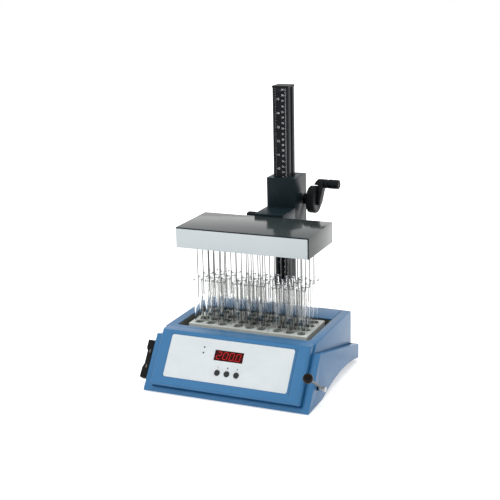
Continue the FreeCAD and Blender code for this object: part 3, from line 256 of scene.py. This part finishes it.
class Finish:
    """A material under construction, with its shader and its pattern space."""

    def __init__(self, name, roughness=0.5, metallic=0.0, stretch=(1, 1, 1)):
        self.material = bpy.data.materials.new(name)
        self.material.use_nodes = True
        self.tree = self.material.node_tree
        self.shader = self.tree.nodes["Principled BSDF"]
        self.set("Roughness", roughness)
        self.set("Metallic", metallic)
        coordinates = self.tree.nodes.new("ShaderNodeTexCoord")
        mapping = self.tree.nodes.new("ShaderNodeMapping")
        mapping.inputs["Scale"].default_value = stretch
        self.tree.links.new(coordinates.outputs["Object"], mapping.inputs["Vector"])
        self.space = mapping.outputs["Vector"]

    def set(self, socket, value):
        self.shader.inputs[socket].default_value = value

    def noise(self, scale, detail=3, roughness=0.5):
        node = self.tree.nodes.new("ShaderNodeTexNoise")
        node.inputs["Scale"].default_value = scale
        node.inputs["Detail"].default_value = detail
        node.inputs["Roughness"].default_value = roughness
        self.tree.links.new(self.space, node.inputs["Vector"])
        return node.outputs["Fac"]

    def between(self, pattern, low, high):
        """A number that follows a pattern from low to high."""
        node = self.tree.nodes.new("ShaderNodeMapRange")
        for socket, value in (("From Min", NOISE_LOW), ("From Max", NOISE_HIGH), ("To Min", low), ("To Max", high)):
            node.inputs[socket].default_value = value
        self.tree.links.new(pattern, node.inputs["Value"])
        return node.outputs["Result"]

    def colours(self, pattern, first, second, low=0.35, high=0.65):
        ramp = self.tree.nodes.new("ShaderNodeValToRGB")
        ramp.color_ramp.elements[0].position = low
        ramp.color_ramp.elements[0].color = first
        ramp.color_ramp.elements[1].position = high
        ramp.color_ramp.elements[1].color = second
        self.tree.links.new(pattern, ramp.inputs["Fac"])
        self.tree.links.new(ramp.outputs["Color"], self.shader.inputs["Base Color"])

    def rough(self, pattern, low, high):
        self.tree.links.new(self.between(pattern, low, high), self.shader.inputs["Roughness"])

    def bump(self, pattern, height, strength=0.5):
        node = self.tree.nodes.new("ShaderNodeBump")
        node.inputs["Strength"].default_value = strength
        node.inputs["Distance"].default_value = height * MM
        self.tree.links.new(pattern, node.inputs["Height"])
        self.tree.links.new(node.outputs["Normal"], self.shader.inputs["Normal"])


def coat(name, first, second, roughness, peel, shine=1.5):
    """A coat: a faintly cloudy colour over a fine orange-peel skin."""
    finish = Finish(name)
    finish.colours(finish.noise(scale=14, detail=4), first, second)
    finish.rough(finish.noise(scale=40, detail=2), roughness - 0.02, roughness + 0.03)
    finish.bump(finish.noise(scale=700, detail=1), peel, strength=0.25)
    finish.set("IOR", shine)
    return finish.material


def moulded(name, first, second, roughness, grain=0.02, shine=1.5):
    """Moulded plastic: a fine spark-eroded grain."""
    finish = Finish(name)
    finish.colours(finish.noise(scale=40, detail=4), first, second)
    finish.rough(finish.noise(scale=260, detail=3), roughness - 0.06, roughness + 0.08)
    finish.bump(finish.noise(scale=2600, detail=2), grain, strength=0.5)
    finish.set("IOR", shine)
    return finish.material


LINE_HEIGHT = 0.004
LINE_FINENESS = 900


def metal(name, first, second, roughness, stretch=(1, 1, 1)):
    """Bare metal: machining lines drawn out along the longest way."""
    finish = Finish(name, metallic=1.0, stretch=stretch)
    pattern = finish.noise(LINE_FINENESS)
    finish.colours(pattern, first, second)
    finish.rough(pattern, roughness - 0.05, roughness + 0.09)
    finish.bump(pattern, LINE_HEIGHT, strength=0.3)
    return finish.material


def clear_glass():
    """Drawn borosilicate glass, faintly uneven along its length."""
    finish = Finish("clear_glass", roughness=0.0, stretch=(1, 1, 0.15))
    finish.set("Base Color", (0.99, 0.995, 0.99, 1))
    finish.set("Transmission Weight", 1.0)
    finish.set("IOR", 1.42)
    finish.bump(finish.noise(scale=60, detail=2), height=0.004, strength=0.1)
    return finish.material


def lit_digit():
    finish = Finish("lit_digit", roughness=0.4)
    finish.colours(finish.noise(scale=900, detail=2), tone(225, 22, 20), tone(246, 40, 30))
    finish.set("Emission Color", tone(255, 22, 16))
    finish.set("Emission Strength", 0.25)
    return finish.material


def red_filter():
    finish = Finish("red_filter", roughness=0.12)
    finish.colours(finish.noise(scale=30, detail=2), tone(52, 6, 9), tone(66, 9, 12))
    finish.rough(finish.noise(scale=120, detail=2), 0.2, 0.3)
    finish.set("IOR", 1.2)
    return finish.material


BLUE = coat("blue_coat", tone(46, 109, 157), tone(49, 112, 160), 0.3, 0.001)
SLATE = coat("slate_coat", tone(21, 32, 37), tone(25, 36, 41), 0.34, 0.002, 1.2)
COVER = coat("cover_coat", tone(52, 59, 59), tone(55, 62, 62), 0.13, 0.0003, 1.42)
SILVER = coat("silver_coat", tone(206, 215, 218), tone(210, 218, 221), 0.42, 0.002)
FILM = moulded("label_film", tone(213, 220, 223), tone(217, 223, 226), 0.5, 0.001)
BLACK = moulded("black_moulding", tone(12, 15, 17), tone(17, 20, 22), 0.4, 0.004, 1.24)
RUBBER = moulded("black_rubber", tone(16, 17, 18), tone(24, 25, 26), 0.6, 0.02, 1.24)
GLOSS = moulded("gloss_black", tone(10, 6, 5), tone(16, 9, 7), 0.1, 0.0005, 1.22)
KEY = moulded("key_plastic", tone(40, 43, 45), tone(46, 49, 51), 0.18, 0.001, 1.35)
MARK = moulded("printed_mark", tone(44, 48, 54), tone(56, 60, 66), 0.5, 0.002)
FIGURE = moulded("white_figure", tone(226, 228, 228), tone(238, 239, 239), 0.5, 0.002)
LAMP = moulded("dark_lamp", tone(36, 40, 40), tone(50, 54, 52), 0.18, 0.002)
# The seam's colour is the blue paint darkened: painted shade in the panel joint's gap.
SHADOW_LINE = moulded("seam_painted_shade", tone(20, 40, 62), tone(26, 48, 70), 0.6, 0.002)
ANODISED = coat("black_anodised", tone(32, 36, 40), tone(37, 41, 44), 0.36, 0.001, 1.18)
STRIP = moulded("scale_strip", tone(20, 23, 26), tone(26, 29, 32), 0.36, 0.002, 1.18)
STEEL = metal("bright_steel", tone(178, 180, 182), tone(206, 207, 208), 0.24, (1, 1, 0.05))
NEEDLE = coat("needle_steel", tone(64, 66, 66), tone(82, 83, 82), 0.3, 0.0005)
BLOCK = coat("block_aluminium", tone(212, 218, 213), tone(218, 224, 219), 0.42, 0.002)
PLATE = metal("plate_aluminium", tone(182, 184, 186), tone(204, 205, 207), 0.36, (0.05, 1, 1))
BRONZE = metal("bush_bronze", tone(150, 112, 62), tone(174, 134, 80), 0.4)
LINER = coat("dark_liner", tone(92, 91, 82), tone(100, 99, 90), 0.4, 0.001)
SLEEVE_GREY = moulded("grip_sleeve", tone(92, 86, 80), tone(112, 105, 98), 0.38, 0.006)
FELT = moulded("insulation_felt", tone(204, 198, 184), tone(222, 217, 204), 0.9, 0.2)
SILICONE = moulded("silicone", tone(172, 164, 150), tone(190, 183, 170), 0.6, 0.02)
BOARD = moulded("board_laminate", tone(24, 74, 46), tone(34, 90, 58), 0.45, 0.01)
CERAMIC = moulded("pad_polymer", tone(220, 216, 204), tone(232, 229, 219), 0.45, 0.01)
GLASS = clear_glass()
DIGIT = lit_digit()
RED_FILTER = red_filter()


# Cradle and heater casing


def casings():
    """Merged copies of the formed and moulded nodes, with their edges rounded by a width."""
    for node, width, body, slot, material in (
            ("cradle_shell", 0.8, "base", "cradle_paint", BLUE),
            ("heater_shell", 0.8, "base", "deck_paint", BLUE),
            ("service_cover", 0.35, "base", "deck_paint", BLUE),
            ("fascia_frame", 0.6, "base", "fascia_paint", BLUE),
            ("control_label", 0.12, "base", "label_film", FILM),
            ("display_window", 0.3, "base", "display_plastic", RED_FILTER),
            ("column_foot", 1.2, "base", "steel_dark", SLATE),
            ("column", 0.6, "base", "column_anodised", ANODISED),
            ("height_scale", 0.1, "base", "scale_film", STRIP),
            ("side_grip", 1.4, "base", "grip_plastic", RUBBER),
            ("mains_inlet", 0.3, "base", "inlet_plastic", BLACK),
            ("carriage_body", 0.7, "head", "carriage_paint", SLATE),
            ("head_arm", 0.7, "head", "carriage_paint", SLATE),
            ("chamber_cover", 0.5, "head", "cover_paint", COVER),
            ("needle_plate", 0.25, "head", "plate_aluminium", PLATE),
            ("crank_arm", 1.2, "crank", "crank_plastic", BLACK),
            ("power_rocker", 0.5, "rocker", "inlet_plastic", GLOSS)):
        piece = soften(copy_of(node, node + "_finished", flatten=node != "heater_shell"), width)
        ready(piece, body, slot, material, node)


def plain_nodes():
    """Nodes whose own shape is right and that keep it."""
    finishes = {
        STEEL: ("foot_studs", "heater_base_plate", "cartridge_heaters", "temperature_probe", "foot_bolts",
                "grip_screws", "head_bolts", "plate_screws", "pinion_shaft", "grip_spindle", "lever_shaft"),
        PLATE: ("heater_plate", "gas_chamber", "column_rack", "pinion"),
        BRONZE: ("shaft_bushes",),
        BLOCK: ("block_left", "block_middle", "block_right"),
        LINER: ("well_liner",),
        RUBBER: ("heater_pads",),
        BLACK: ("column_cap", "lever_bush"),
        BOARD: ("control_board", "power_board"),
        FELT: ("insulation",),
        SILICONE: ("septum_mat",),
        CERAMIC: ("guide_pads",),
    }
    for material, nodes in finishes.items():
        for node in nodes:
            keep(node, material)


HEAD_HALF = 123
HEAD_LOW = 238.7
HEAD_HIGH = 275
HEAD_FRONT = -205.6
HEAD_JOINT = -203.6
EDGING = 2


def head_front():
    """The silver front panel, with the cover's dark edge over its top and its right side."""
    right, top = HEAD_HALF - EDGING, HEAD_HIGH - EDGING
    panel = soften(bar("silver_front", (-HEAD_HALF, HEAD_FRONT, HEAD_LOW), (right, HEAD_JOINT, top)), 0.3)
    ready(panel, "head", "front_silver", SILVER, "chamber_front")
    over = bar("front_top_edge", (-HEAD_HALF, HEAD_FRONT, top), (HEAD_HALF, HEAD_JOINT, HEAD_HIGH))
    beside = bar("front_side_edge", (right, HEAD_FRONT, HEAD_LOW), (HEAD_HALF, HEAD_JOINT, top))
    edging = joined([soften(over, 0.2), soften(beside, 0.2)], "front_edging")
    ready(edging, "head", "cover_paint", SLATE)


# Control panel

BUTTON_LEVEL = 34.5
BUTTON_PITCH = 17.7
BUTTONS = (("down", -BUTTON_PITCH), ("stop", 0), ("up", BUTTON_PITCH))
SYMBOL_LEVEL = 44.8
WINDOW_LEFT = -29.5
WINDOW_LEVEL = 65
MARK_DEPTH = 0.06
DASH_REACH = 1.6
DASH_RISE = 0.3
SQUARE_REACH = 1.2
TRIANGLE_REACH = 1.8


def buttons():
    for name, across in BUTTONS:
        cap = turned(name + "_button_cap", [
            (2.4, -6.4), (2.4, -4.7), (6.1, -4.7), (6.1, -3.35), (4.95, -3.3), (4.95, 0.6), (4.7, 1.15),
            (4.1, 1.5), (3.0, 1.68), (1.6, 1.77), (0.4, 1.8)], 48)
        place(cap, PANEL @ at(across, BUTTON_LEVEL, 0))
        ready(cap, "button_" + name, "button_plastic", KEY, name + "_button")


def symbols():
    """A dash, a square and a triangle, printed over the buttons."""
    dash = bar("dash_mark", (-BUTTON_PITCH - DASH_REACH, SYMBOL_LEVEL - DASH_RISE, 0),
               (-BUTTON_PITCH + DASH_REACH, SYMBOL_LEVEL + DASH_RISE, MARK_DEPTH))
    square = bar("square_mark", (-SQUARE_REACH, SYMBOL_LEVEL - SQUARE_REACH, 0),
                 (SQUARE_REACH, SYMBOL_LEVEL + SQUARE_REACH, MARK_DEPTH))
    bpy.ops.mesh.primitive_cylinder_add(vertices=3, radius=TRIANGLE_REACH * MM, depth=MARK_DEPTH * MM)
    triangle = place(bpy.context.active_object, at(BUTTON_PITCH, SYMBOL_LEVEL, MARK_DEPTH / 2))
    marks = joined([dash, square, triangle], "button_marks")
    ready(place(marks, PANEL), "base", "label_film", MARK)


LAMP_ACROSS = -51
LAMP_LEVELS = (76, 66)


def lamps():
    made = []
    for level in LAMP_LEVELS:
        lens = turned("lamp_lens", [(1.45, -9), (1.45, 0.1), (1.2, 0.28), (0.6, 0.3)], 32)
        made.append(place(lens, PANEL @ at(LAMP_ACROSS, level, 0)))
    ready(joined(made, "lamp_lenses"), "base", "lamp_plastic", LAMP, "indicator_lamps")


READING = (("2", 8.4), ("0", 20.2), ("0", 32.0), (".", 38.0), ("0", 44.2))
SEGMENTS = {"2": "abged", "0": "abcdef", ".": "p"}
DIGIT_WIDTH = 7.4
DIGIT_HEIGHT = 12.4
DIGIT_LEAN = 0.14
DIGIT_SUNK = 0.22
STROKE = 0.7
STROKE_DEPTH = 0.12
LEVEL_GAP = 1.7
UPRIGHT_GAP = 0.9
POINT = 1.5


def segment(across, up, length, upright):
    """One lit bar of a figure: a six-sided prism drawn out to its length, so its ends are pointed."""
    bpy.ops.mesh.primitive_cylinder_add(vertices=6, radius=STROKE / 2 * MM, depth=STROKE_DEPTH * MM)
    piece = bpy.context.active_object
    for vertex in piece.data.vertices:
        vertex.co.y += math.copysign((length - STROKE) / 2 * MM, vertex.co.y)
    turn = Matrix.Identity(4) if upright else Matrix.Rotation(math.radians(90), 4, "Z")
    return place(piece, at(across, up, 0) @ turn)


def display_figures():
    """The reading, from bars lettered a to g clockwise from the top with g in the middle, and p for the point."""
    right, top = DIGIT_WIDTH / 2, DIGIT_HEIGHT / 2
    level, upright = DIGIT_WIDTH - LEVEL_GAP, top - UPRIGHT_GAP
    bars = {
        "a": (0, top, level, False), "g": (0, 0, level, False), "d": (0, -top, level, False),
        "b": (right, top / 2, upright, True), "c": (right, -top / 2, upright, True),
        "f": (-right, top / 2, upright, True), "e": (-right, -top / 2, upright, True),
        "p": (0, -top, POINT, True),
    }
    made = []
    for figure, across in READING:
        for letter in SEGMENTS[figure]:
            made.append(place(segment(*bars[letter]), at(WINDOW_LEFT + across, 0, 0)))
    figures = joined(made, "display_figures")
    for vertex in figures.data.vertices:
        vertex.co.x += vertex.co.y * DIGIT_LEAN
    place(figures, PANEL @ at(0, WINDOW_LEVEL, -DIGIT_SUNK))
    ready(figures, "base", "display_plastic", DIGIT)


SEAM_LEFT, SEAM_RIGHT = 116.2, 116.9
SEAM_LOW, SEAM_HIGH = 12, 96
SEAM_SUNK, SEAM_PROUD = 0.2, 0.03


def panel_seam():
    """The joint in the panel frame beside the label, drawn as a darkened blue strip: painted shade in its gap."""
    seam = bar("panel_seam", (SEAM_LEFT, SEAM_LOW, -SEAM_SUNK), (SEAM_RIGHT, SEAM_HIGH, SEAM_PROUD))
    ready(place(seam, PANEL), "base", "fascia_paint", SHADOW_LINE)


# Tubes and needles

BLOCK_PITCH = 75
BLOCKS = (("left", -BLOCK_PITCH), ("middle", 0), ("right", BLOCK_PITCH))
HOLE_PITCH = 22.5
ACROSS = (-HOLE_PITCH, 0, HOLE_PITCH)
ROW_PITCH = 21.5
WELL_SHIFT = 1.5
BACK = [-COLUMN_TO_WELL + WELL_SHIFT + (row - 1.5) * ROW_PITCH for row in range(4)]
TUBE_BASE = 51
TUBE_RADIUS = 8
BORE_RADIUS = 6.9
BOWL_STEPS = 7
NEEDLE_TIP = 140


def bowl(radius):
    """Half the outline of the round bottom, from near its middle out to the wall."""
    turns = [math.radians(90 * k / BOWL_STEPS) for k in range(1, BOWL_STEPS + 1)]
    return [(radius * math.sin(turn), TUBE_RADIUS - radius * math.cos(turn)) for turn in turns]


def glass_tube():
    """One wall from the outside of the round bottom, over the rolled rim and down the bore."""
    rim = [(TUBE_RADIUS, 122.6), (8.5, 123.0), (8.85, 123.7), (8.85, 124.3), (8.5, 124.85), (7.9, 125),
           (7.3, 124.7), (BORE_RADIUS, 123.9), (BORE_RADIUS, 120)]
    inside = bowl(BORE_RADIUS)[::-1]
    return turned("glass_tube", [(0.3, 0)] + bowl(TUBE_RADIUS) + rim + inside + [(0.25, 1.1)], 36)


def tubes():
    master = glass_tube()
    for name, across in BLOCKS:
        start = master if name == "right" else master.copy()
        if start is not master:
            start.data = master.data.copy()
            bpy.context.collection.objects.link(start)
        places = [at(across + x, y, TUBE_BASE) for x in ACROSS for y in BACK]
        group = joined(copies(start, places), "glass_tubes_" + name)
        ready(group, "base", "tube_glass", GLASS, "tubes_" + name)


def needles():
    """Gas needles with an open tip, and the ferrule that each leaves the plate through."""
    needle = turned("needle", [
        (0.5, 0), (0.72, 0), (0.8, 0.25), (0.8, 97.2), (1.5, 97.4), (1.7, 97.8), (1.7, 98.65), (0.8, 98.7),
        (0.8, 108.6), (0.5, 108.7)], 16)
    places = [at(x0 + x, y, NEEDLE_TIP) for _, x0 in BLOCKS for x in ACROSS for y in BACK]
    ready(joined(copies(needle, places), "gas_needles"), "head", "steel_bright", NEEDLE, "needles")


# Column scale

SCALE_LOW = 102
SCALE_HIGH = 496
STRIP_TOP = 490
STRIP_FACE = -14.9
COLUMN_FACE = -15.0
CENTIMETRE_ZERO = 103.1
INCH_ZERO = 95.1
CENTIMETRE = 10
INCH = 25.4
SCALE_EDGE = 10.4
TICK_HALF = 0.14


def scale_face(height):
    """The print lies on the strip, and above the strip's end on the column's own face."""
    return STRIP_FACE if height < STRIP_TOP else COLUMN_FACE


def scale_tick(side, height, length):
    face = scale_face(height)
    near, far = sorted((side * SCALE_EDGE, side * (SCALE_EDGE - length)))
    return bar("tick", (near, face - PRINT, height - TICK_HALF), (far, face, height + TICK_HALF))


def scale_side(side, zero, pitch, parts, lengths):
    """One edge's ticks, each whole unit cut in parts, with lengths for whole, half and other steps."""
    whole, half, other = lengths
    made = []
    step = 0
    while zero + step * pitch / parts < SCALE_HIGH:
        height = zero + step * pitch / parts
        if height > SCALE_LOW:
            length = whole if step % parts == 0 else (half if step % (parts // 2) == 0 else other)
            made.append(scale_tick(side, height, length))
        step += 1
    return made


def scale_figures():
    """Centimetre figures on the right, inch figures on the left, with their ticks."""
    ticks = scale_side(1, CENTIMETRE_ZERO, CENTIMETRE, 10, (2.6, 2.0, 1.3))
    ticks += scale_side(-1, INCH_ZERO, INCH, 8, (2.4, 1.7, 1.1))
    ready(joined(ticks, "scale_ticks"), "base", "scale_film", FIGURE)
    figures = []
    for zero, pitch, last, across, height in (
            (CENTIMETRE_ZERO, CENTIMETRE, 39, 3.9, 3.4), (INCH_ZERO, INCH, 15, -4.9, 4.0)):
        for number in range(1, last + 1):
            level = zero + pitch * number
            turn = at(across, scale_face(level) - PRINT / 2, level) @ FACING_FRONT
            figures.append(lettering("figure", str(number), height, PRINT, turn))
    ready(joined(figures, "scale_figures"), "base", "scale_film", FIGURE)


# Crank

FLUTES = 36
FLUTES_FROM = 23.6
FLUTE_DEPTH = 0.045
GRIP_REACH = 30


def crank_knob():
    """The disc with its fluted rim, on a hub with a turned neck."""
    knob = turned("fluted_knob", [
        (3.6, 31), (9.4, 31), (10, 31.5), (10, 38.5), (8.6, 39.2), (8.6, 41), (10, 42), (22.6, 42), (24.2, 42.5),
        (25.2, 43.8), (25.4, 45.2), (25.4, 54.8), (25.2, 56.2), (24.2, 57.5), (22.8, 58), (15, 58), (14, 57.5),
        (4, 57.5)], 216)
    for vertex in knob.data.vertices:
        reach = math.hypot(vertex.co.x, vertex.co.y) / MM
        if reach > FLUTES_FROM:
            angle = math.atan2(vertex.co.y, vertex.co.x)
            share = 1 - FLUTE_DEPTH * (0.5 + 0.5 * math.cos(FLUTES * angle)) ** 2
            vertex.co.x *= share
            vertex.co.y *= share
    place(shade(knob, 50), CRANK @ LENGTHWAYS)
    ready(knob, "crank", "crank_plastic", BLACK, "crank_knob")


def crank_grip():
    grip = turned("turning_grip", [
        (3.2, 69), (7.6, 69), (8.3, 69.5), (8.5, 70.4), (8.5, 73.2), (7.7, 73.9), (7.5, 74.6), (7.9, 75.4),
        (8.5, 76.6), (8.65, 82), (8.65, 90), (8.5, 93.4), (8.0, 94.0), (8.0, 94.5), (8.5, 95.0), (8.3, 96.2),
        (7.2, 96.9), (5.2, 97), (4.6, 96.4), (0.5, 96.4)], 64)
    place(grip, CRANK @ at(0, 0, GRIP_REACH) @ LENGTHWAYS)
    ready(grip, "grip", "crank_plastic", BLACK, "crank_grip")


# Gas fitting

FITTING = at(-25, -54.9, 268.5) @ LENGTHWAYS


def gas_fitting():
    """The push-in fitting: body with a hexagon, collar and release ring."""
    body = turned("gas_fitting", [
        (2.1, 7), (4.3, 7), (4.4, 0.1), (6.0, 0), (6.45, -0.6), (6.45, -7.4), (5.9, -8), (5.9, -9), (6.5, -9.6),
        (6.5, -23.6), (5.9, -24.8), (5.1, -25), (4.95, -25.6), (4.95, -26.4), (4.5, -27), (3.1, -27), (3.1, -11),
        (2.0, -11), (2.0, 6.9)], 48)
    place(body, FITTING)
    ready(body, "head", "fitting_plastic", BLACK, "gas_inlet")


# Side lever and side grip

LEVER_ANGLE = 32.4
LEVER = at(163, -247.5, 31) @ Matrix.Rotation(math.radians(90 - LEVER_ANGLE), 4, "X")
BALL_RADIUS = 8.7
BALL_CENTRE = 86.7
BALL_STEPS = 18
BALL_BORE = 3.3
SLEEVE_WIDENING = 1.28
SLEEVE = (PANEL @ at(-153 - 7.4, 0, -PANEL_PROUD - 3 - 7)
          @ Matrix.Rotation(math.radians(-90), 4, "X") @ Matrix.Diagonal((1, SLEEVE_WIDENING, 1, 1)))


def lever():
    rod = turned("lever_stem", [
        (1.7, 4.3), (2.1, 4.9), (2.1, 70), (3.0, 72), (3.3, 78), (2.2, 78.4), (2.2, 82.6)], 32)
    ready(place(rod, LEVER), "lever", "steel_bright", NEEDLE, "lever_rod")
    rings = []
    for k in range(1, BALL_STEPS):
        angle = math.radians(180 * k / BALL_STEPS)
        radius, height = BALL_RADIUS * math.sin(angle), BALL_CENTRE - BALL_RADIUS * math.cos(angle)
        if radius > BALL_BORE + 0.1 or height > BALL_CENTRE:
            rings.append((radius, height))
    ball = turned("lever_knob", [(BALL_BORE, rings[0][1] - 0.2)] + rings + [(0.2, BALL_CENTRE + BALL_RADIUS)], 48)
    ready(place(ball, LEVER), "lever", "ball_plastic", GLOSS, "lever_ball")


def grip_sleeve():
    """The smooth sleeve in the waist of the side grip."""
    sleeve = turned("grip_sleeve", [
        (5.2, 29), (5.6, 29.6), (5.6, 34), (5.2, 40), (5.0, 46), (5.2, 52), (5.6, 58), (5.6, 62.4), (5.2, 63)], 40)
    ready(place(sleeve, SLEEVE), "base", "grip_plastic", SLEEVE_GREY)


# Feet and the rear inlet

FOOT_RADIUS = 10
HEATER_REAR = 117.2
REAR_FOOT_INSET = 14
INLET_ACROSS = -96
INLET_LEVEL = 60
BLADES = ((-7, -2), (0, 2.5), (7, -2))
BLADE_HALF_WIDTH = 1.05
BLADE_HALF_HEIGHT = 2.05
BLADE_START = -52.3
BLADE_END = -39.1


def feet():
    low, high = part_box("cradle_feet")
    height = (high.z - low.z) / MM
    foot = turned("rubber_foot", [
        (7.6, 0), (9.2, 0.3), (9.8, 1.2), (10, 3), (9.6, height - 4), (9.2, height - 1), (8.8, height)], 40)
    left, front = low.x / MM + FOOT_RADIUS, low.y / MM + FOOT_RADIUS
    right, rear = high.x / MM - FOOT_RADIUS, HEATER_REAR - REAR_FOOT_INSET - COLUMN_TO_WELL
    places = [at(x, y, 0) for x in (left, right) for y in (front, rear)] + [at(0, 0, 0)]
    ready(joined(copies(foot, places), "rubber_feet"), "base", "rubber_black", RUBBER, "cradle_feet")


def inlet_pins():
    """Metal blades inside the mains inlet, just over the moulded cores."""
    blades = []
    for across, up in BLADES:
        middle, level = INLET_ACROSS + across, INLET_LEVEL + up
        blade = bar("inlet_blade", (middle - BLADE_HALF_WIDTH, BLADE_START, level - BLADE_HALF_HEIGHT),
                    (middle + BLADE_HALF_WIDTH, BLADE_END, level + BLADE_HALF_HEIGHT))
        blades.append(soften(blade, 0.3))
    ready(joined(blades, "inlet_blades"), "base", "steel_bright", STEEL)


def everything():
    casings()
    plain_nodes()
    head_front()
    buttons()
    symbols()
    lamps()
    display_figures()
    panel_seam()
    tubes()
    needles()
    scale_figures()
    crank_knob()
    crank_grip()
    gas_fitting()
    lever()
    grip_sleeve()
    feet()
    inlet_pins()


# Camera, light and floor. The camera was fitted to the photograph; its angles are in radians.

EYE = Vector((732.55, -1695.67 - COLUMN_TO_WELL, 738.30))
YAW = -0.4124
PITCH = 0.2689
ROLL = -0.0228
FOCUS_PIXELS = 1093.34
PICTURE_PIXELS = 500
SENSOR = 36


def camera():
    bpy.ops.object.camera_add(location=EYE * MM)
    eye = bpy.context.active_object
    turn = (Matrix.Rotation(-YAW, 4, "Z") @ Matrix.Rotation(math.radians(90) - PITCH, 4, "X")
            @ Matrix.Rotation(ROLL, 4, "Z"))
    eye.rotation_euler = turn.to_euler()
    eye.data.sensor_width = SENSOR
    eye.data.lens = SENSOR * FOCUS_PIXELS / PICTURE_PIXELS
    eye.data.clip_end = 50
    bpy.context.scene.camera = eye


def lamp(name, spot, aim, size, power):
    """A square soft light that looks at a point and leaves no mirror image of itself."""
    bpy.ops.object.light_add(type="AREA", location=spot)
    light = bpy.context.active_object
    light.name = name
    light.data.size = size
    light.data.energy = power
    light.visible_glossy = False
    light.rotation_euler = (Vector(aim) - Vector(spot)).to_track_quat("-Z", "Y").to_euler()


def straight_rays(tree):
    """One where the camera, a mirror or glass looks, and nought for scattered light."""
    path = tree.nodes.new("ShaderNodeLightPath")
    either = path.outputs["Is Camera Ray"]
    for ray in ("Is Glossy Ray", "Is Transmission Ray"):
        add = tree.nodes.new("ShaderNodeMath")
        add.operation = "MAXIMUM"
        tree.links.new(either, add.inputs[0])
        tree.links.new(path.outputs[ray], add.inputs[1])
        either = add.outputs["Value"]
    return either


FLOOR_SIZE = 12
NEAR_GLOW = 0.5
NEAR_END = 0.4
FAR_START = 1.1


def floor():
    """A pale floor with its own glow, weaker near the object, where the lamps light it and its shadow lies."""
    bpy.ops.mesh.primitive_plane_add(size=FLOOR_SIZE, location=(0, 0, 0))
    ground = bpy.context.active_object
    ground.name = "floor"
    material = bpy.data.materials.new("white_floor")
    material.use_nodes = True
    tree = material.node_tree
    shader = tree.nodes["Principled BSDF"]
    shader.inputs["Base Color"].default_value = (0.9, 0.9, 0.9, 1)
    shader.inputs["Roughness"].default_value = 0.8
    shader.inputs["Specular IOR Level"].default_value = 0.1
    coordinates = tree.nodes.new("ShaderNodeTexCoord")
    distance = tree.nodes.new("ShaderNodeVectorMath")
    distance.operation = "LENGTH"
    tree.links.new(coordinates.outputs["Object"], distance.inputs[0])
    level = tree.nodes.new("ShaderNodeMapRange")
    level.interpolation_type = "SMOOTHSTEP"
    for socket, value in (("From Min", NEAR_END), ("From Max", FAR_START), ("To Min", NEAR_GLOW), ("To Max", 1)):
        level.inputs[socket].default_value = value
    tree.links.new(distance.outputs["Value"], level.inputs["Value"])
    glow = tree.nodes.new("ShaderNodeMath")
    glow.operation = "MULTIPLY"
    tree.links.new(straight_rays(tree), glow.inputs[0])
    tree.links.new(level.outputs["Result"], glow.inputs[1])
    shader.inputs["Emission Color"].default_value = (1, 1, 1, 1)
    tree.links.new(glow.outputs["Value"], shader.inputs["Emission Strength"])
    ground.data.materials.append(material)


SCATTERED_SHARE = 0.42


def surroundings():
    """A white world, weaker in the light that it throws than where it is seen."""
    world = bpy.data.worlds.new("studio")
    bpy.context.scene.world = world
    world.use_nodes = True
    tree = world.node_tree
    background = tree.nodes["Background"]
    background.inputs["Color"].default_value = (1, 1, 1, 1)
    strength = tree.nodes.new("ShaderNodeMapRange")
    strength.inputs["To Min"].default_value = SCATTERED_SHARE
    strength.inputs["To Max"].default_value = 1.0
    tree.links.new(straight_rays(tree), strength.inputs["Value"])
    tree.links.new(strength.outputs["Result"], background.inputs["Strength"])


camera()
lamp("key_light", spot=(-1.0, -1.6, 1.9), aim=(0, -0.15, 0.2), size=1.3, power=23)
lamp("top_light", spot=(0.2, -0.1, 2.2), aim=(0, -0.15, 0.1), size=1.6, power=24)
lamp("right_light", spot=(2.0, -0.4, 1.1), aim=(0, -0.15, 0.15), size=1.2, power=4)
floor()
surroundings()
everything()

bpy.context.scene.view_settings.view_transform = "Standard"
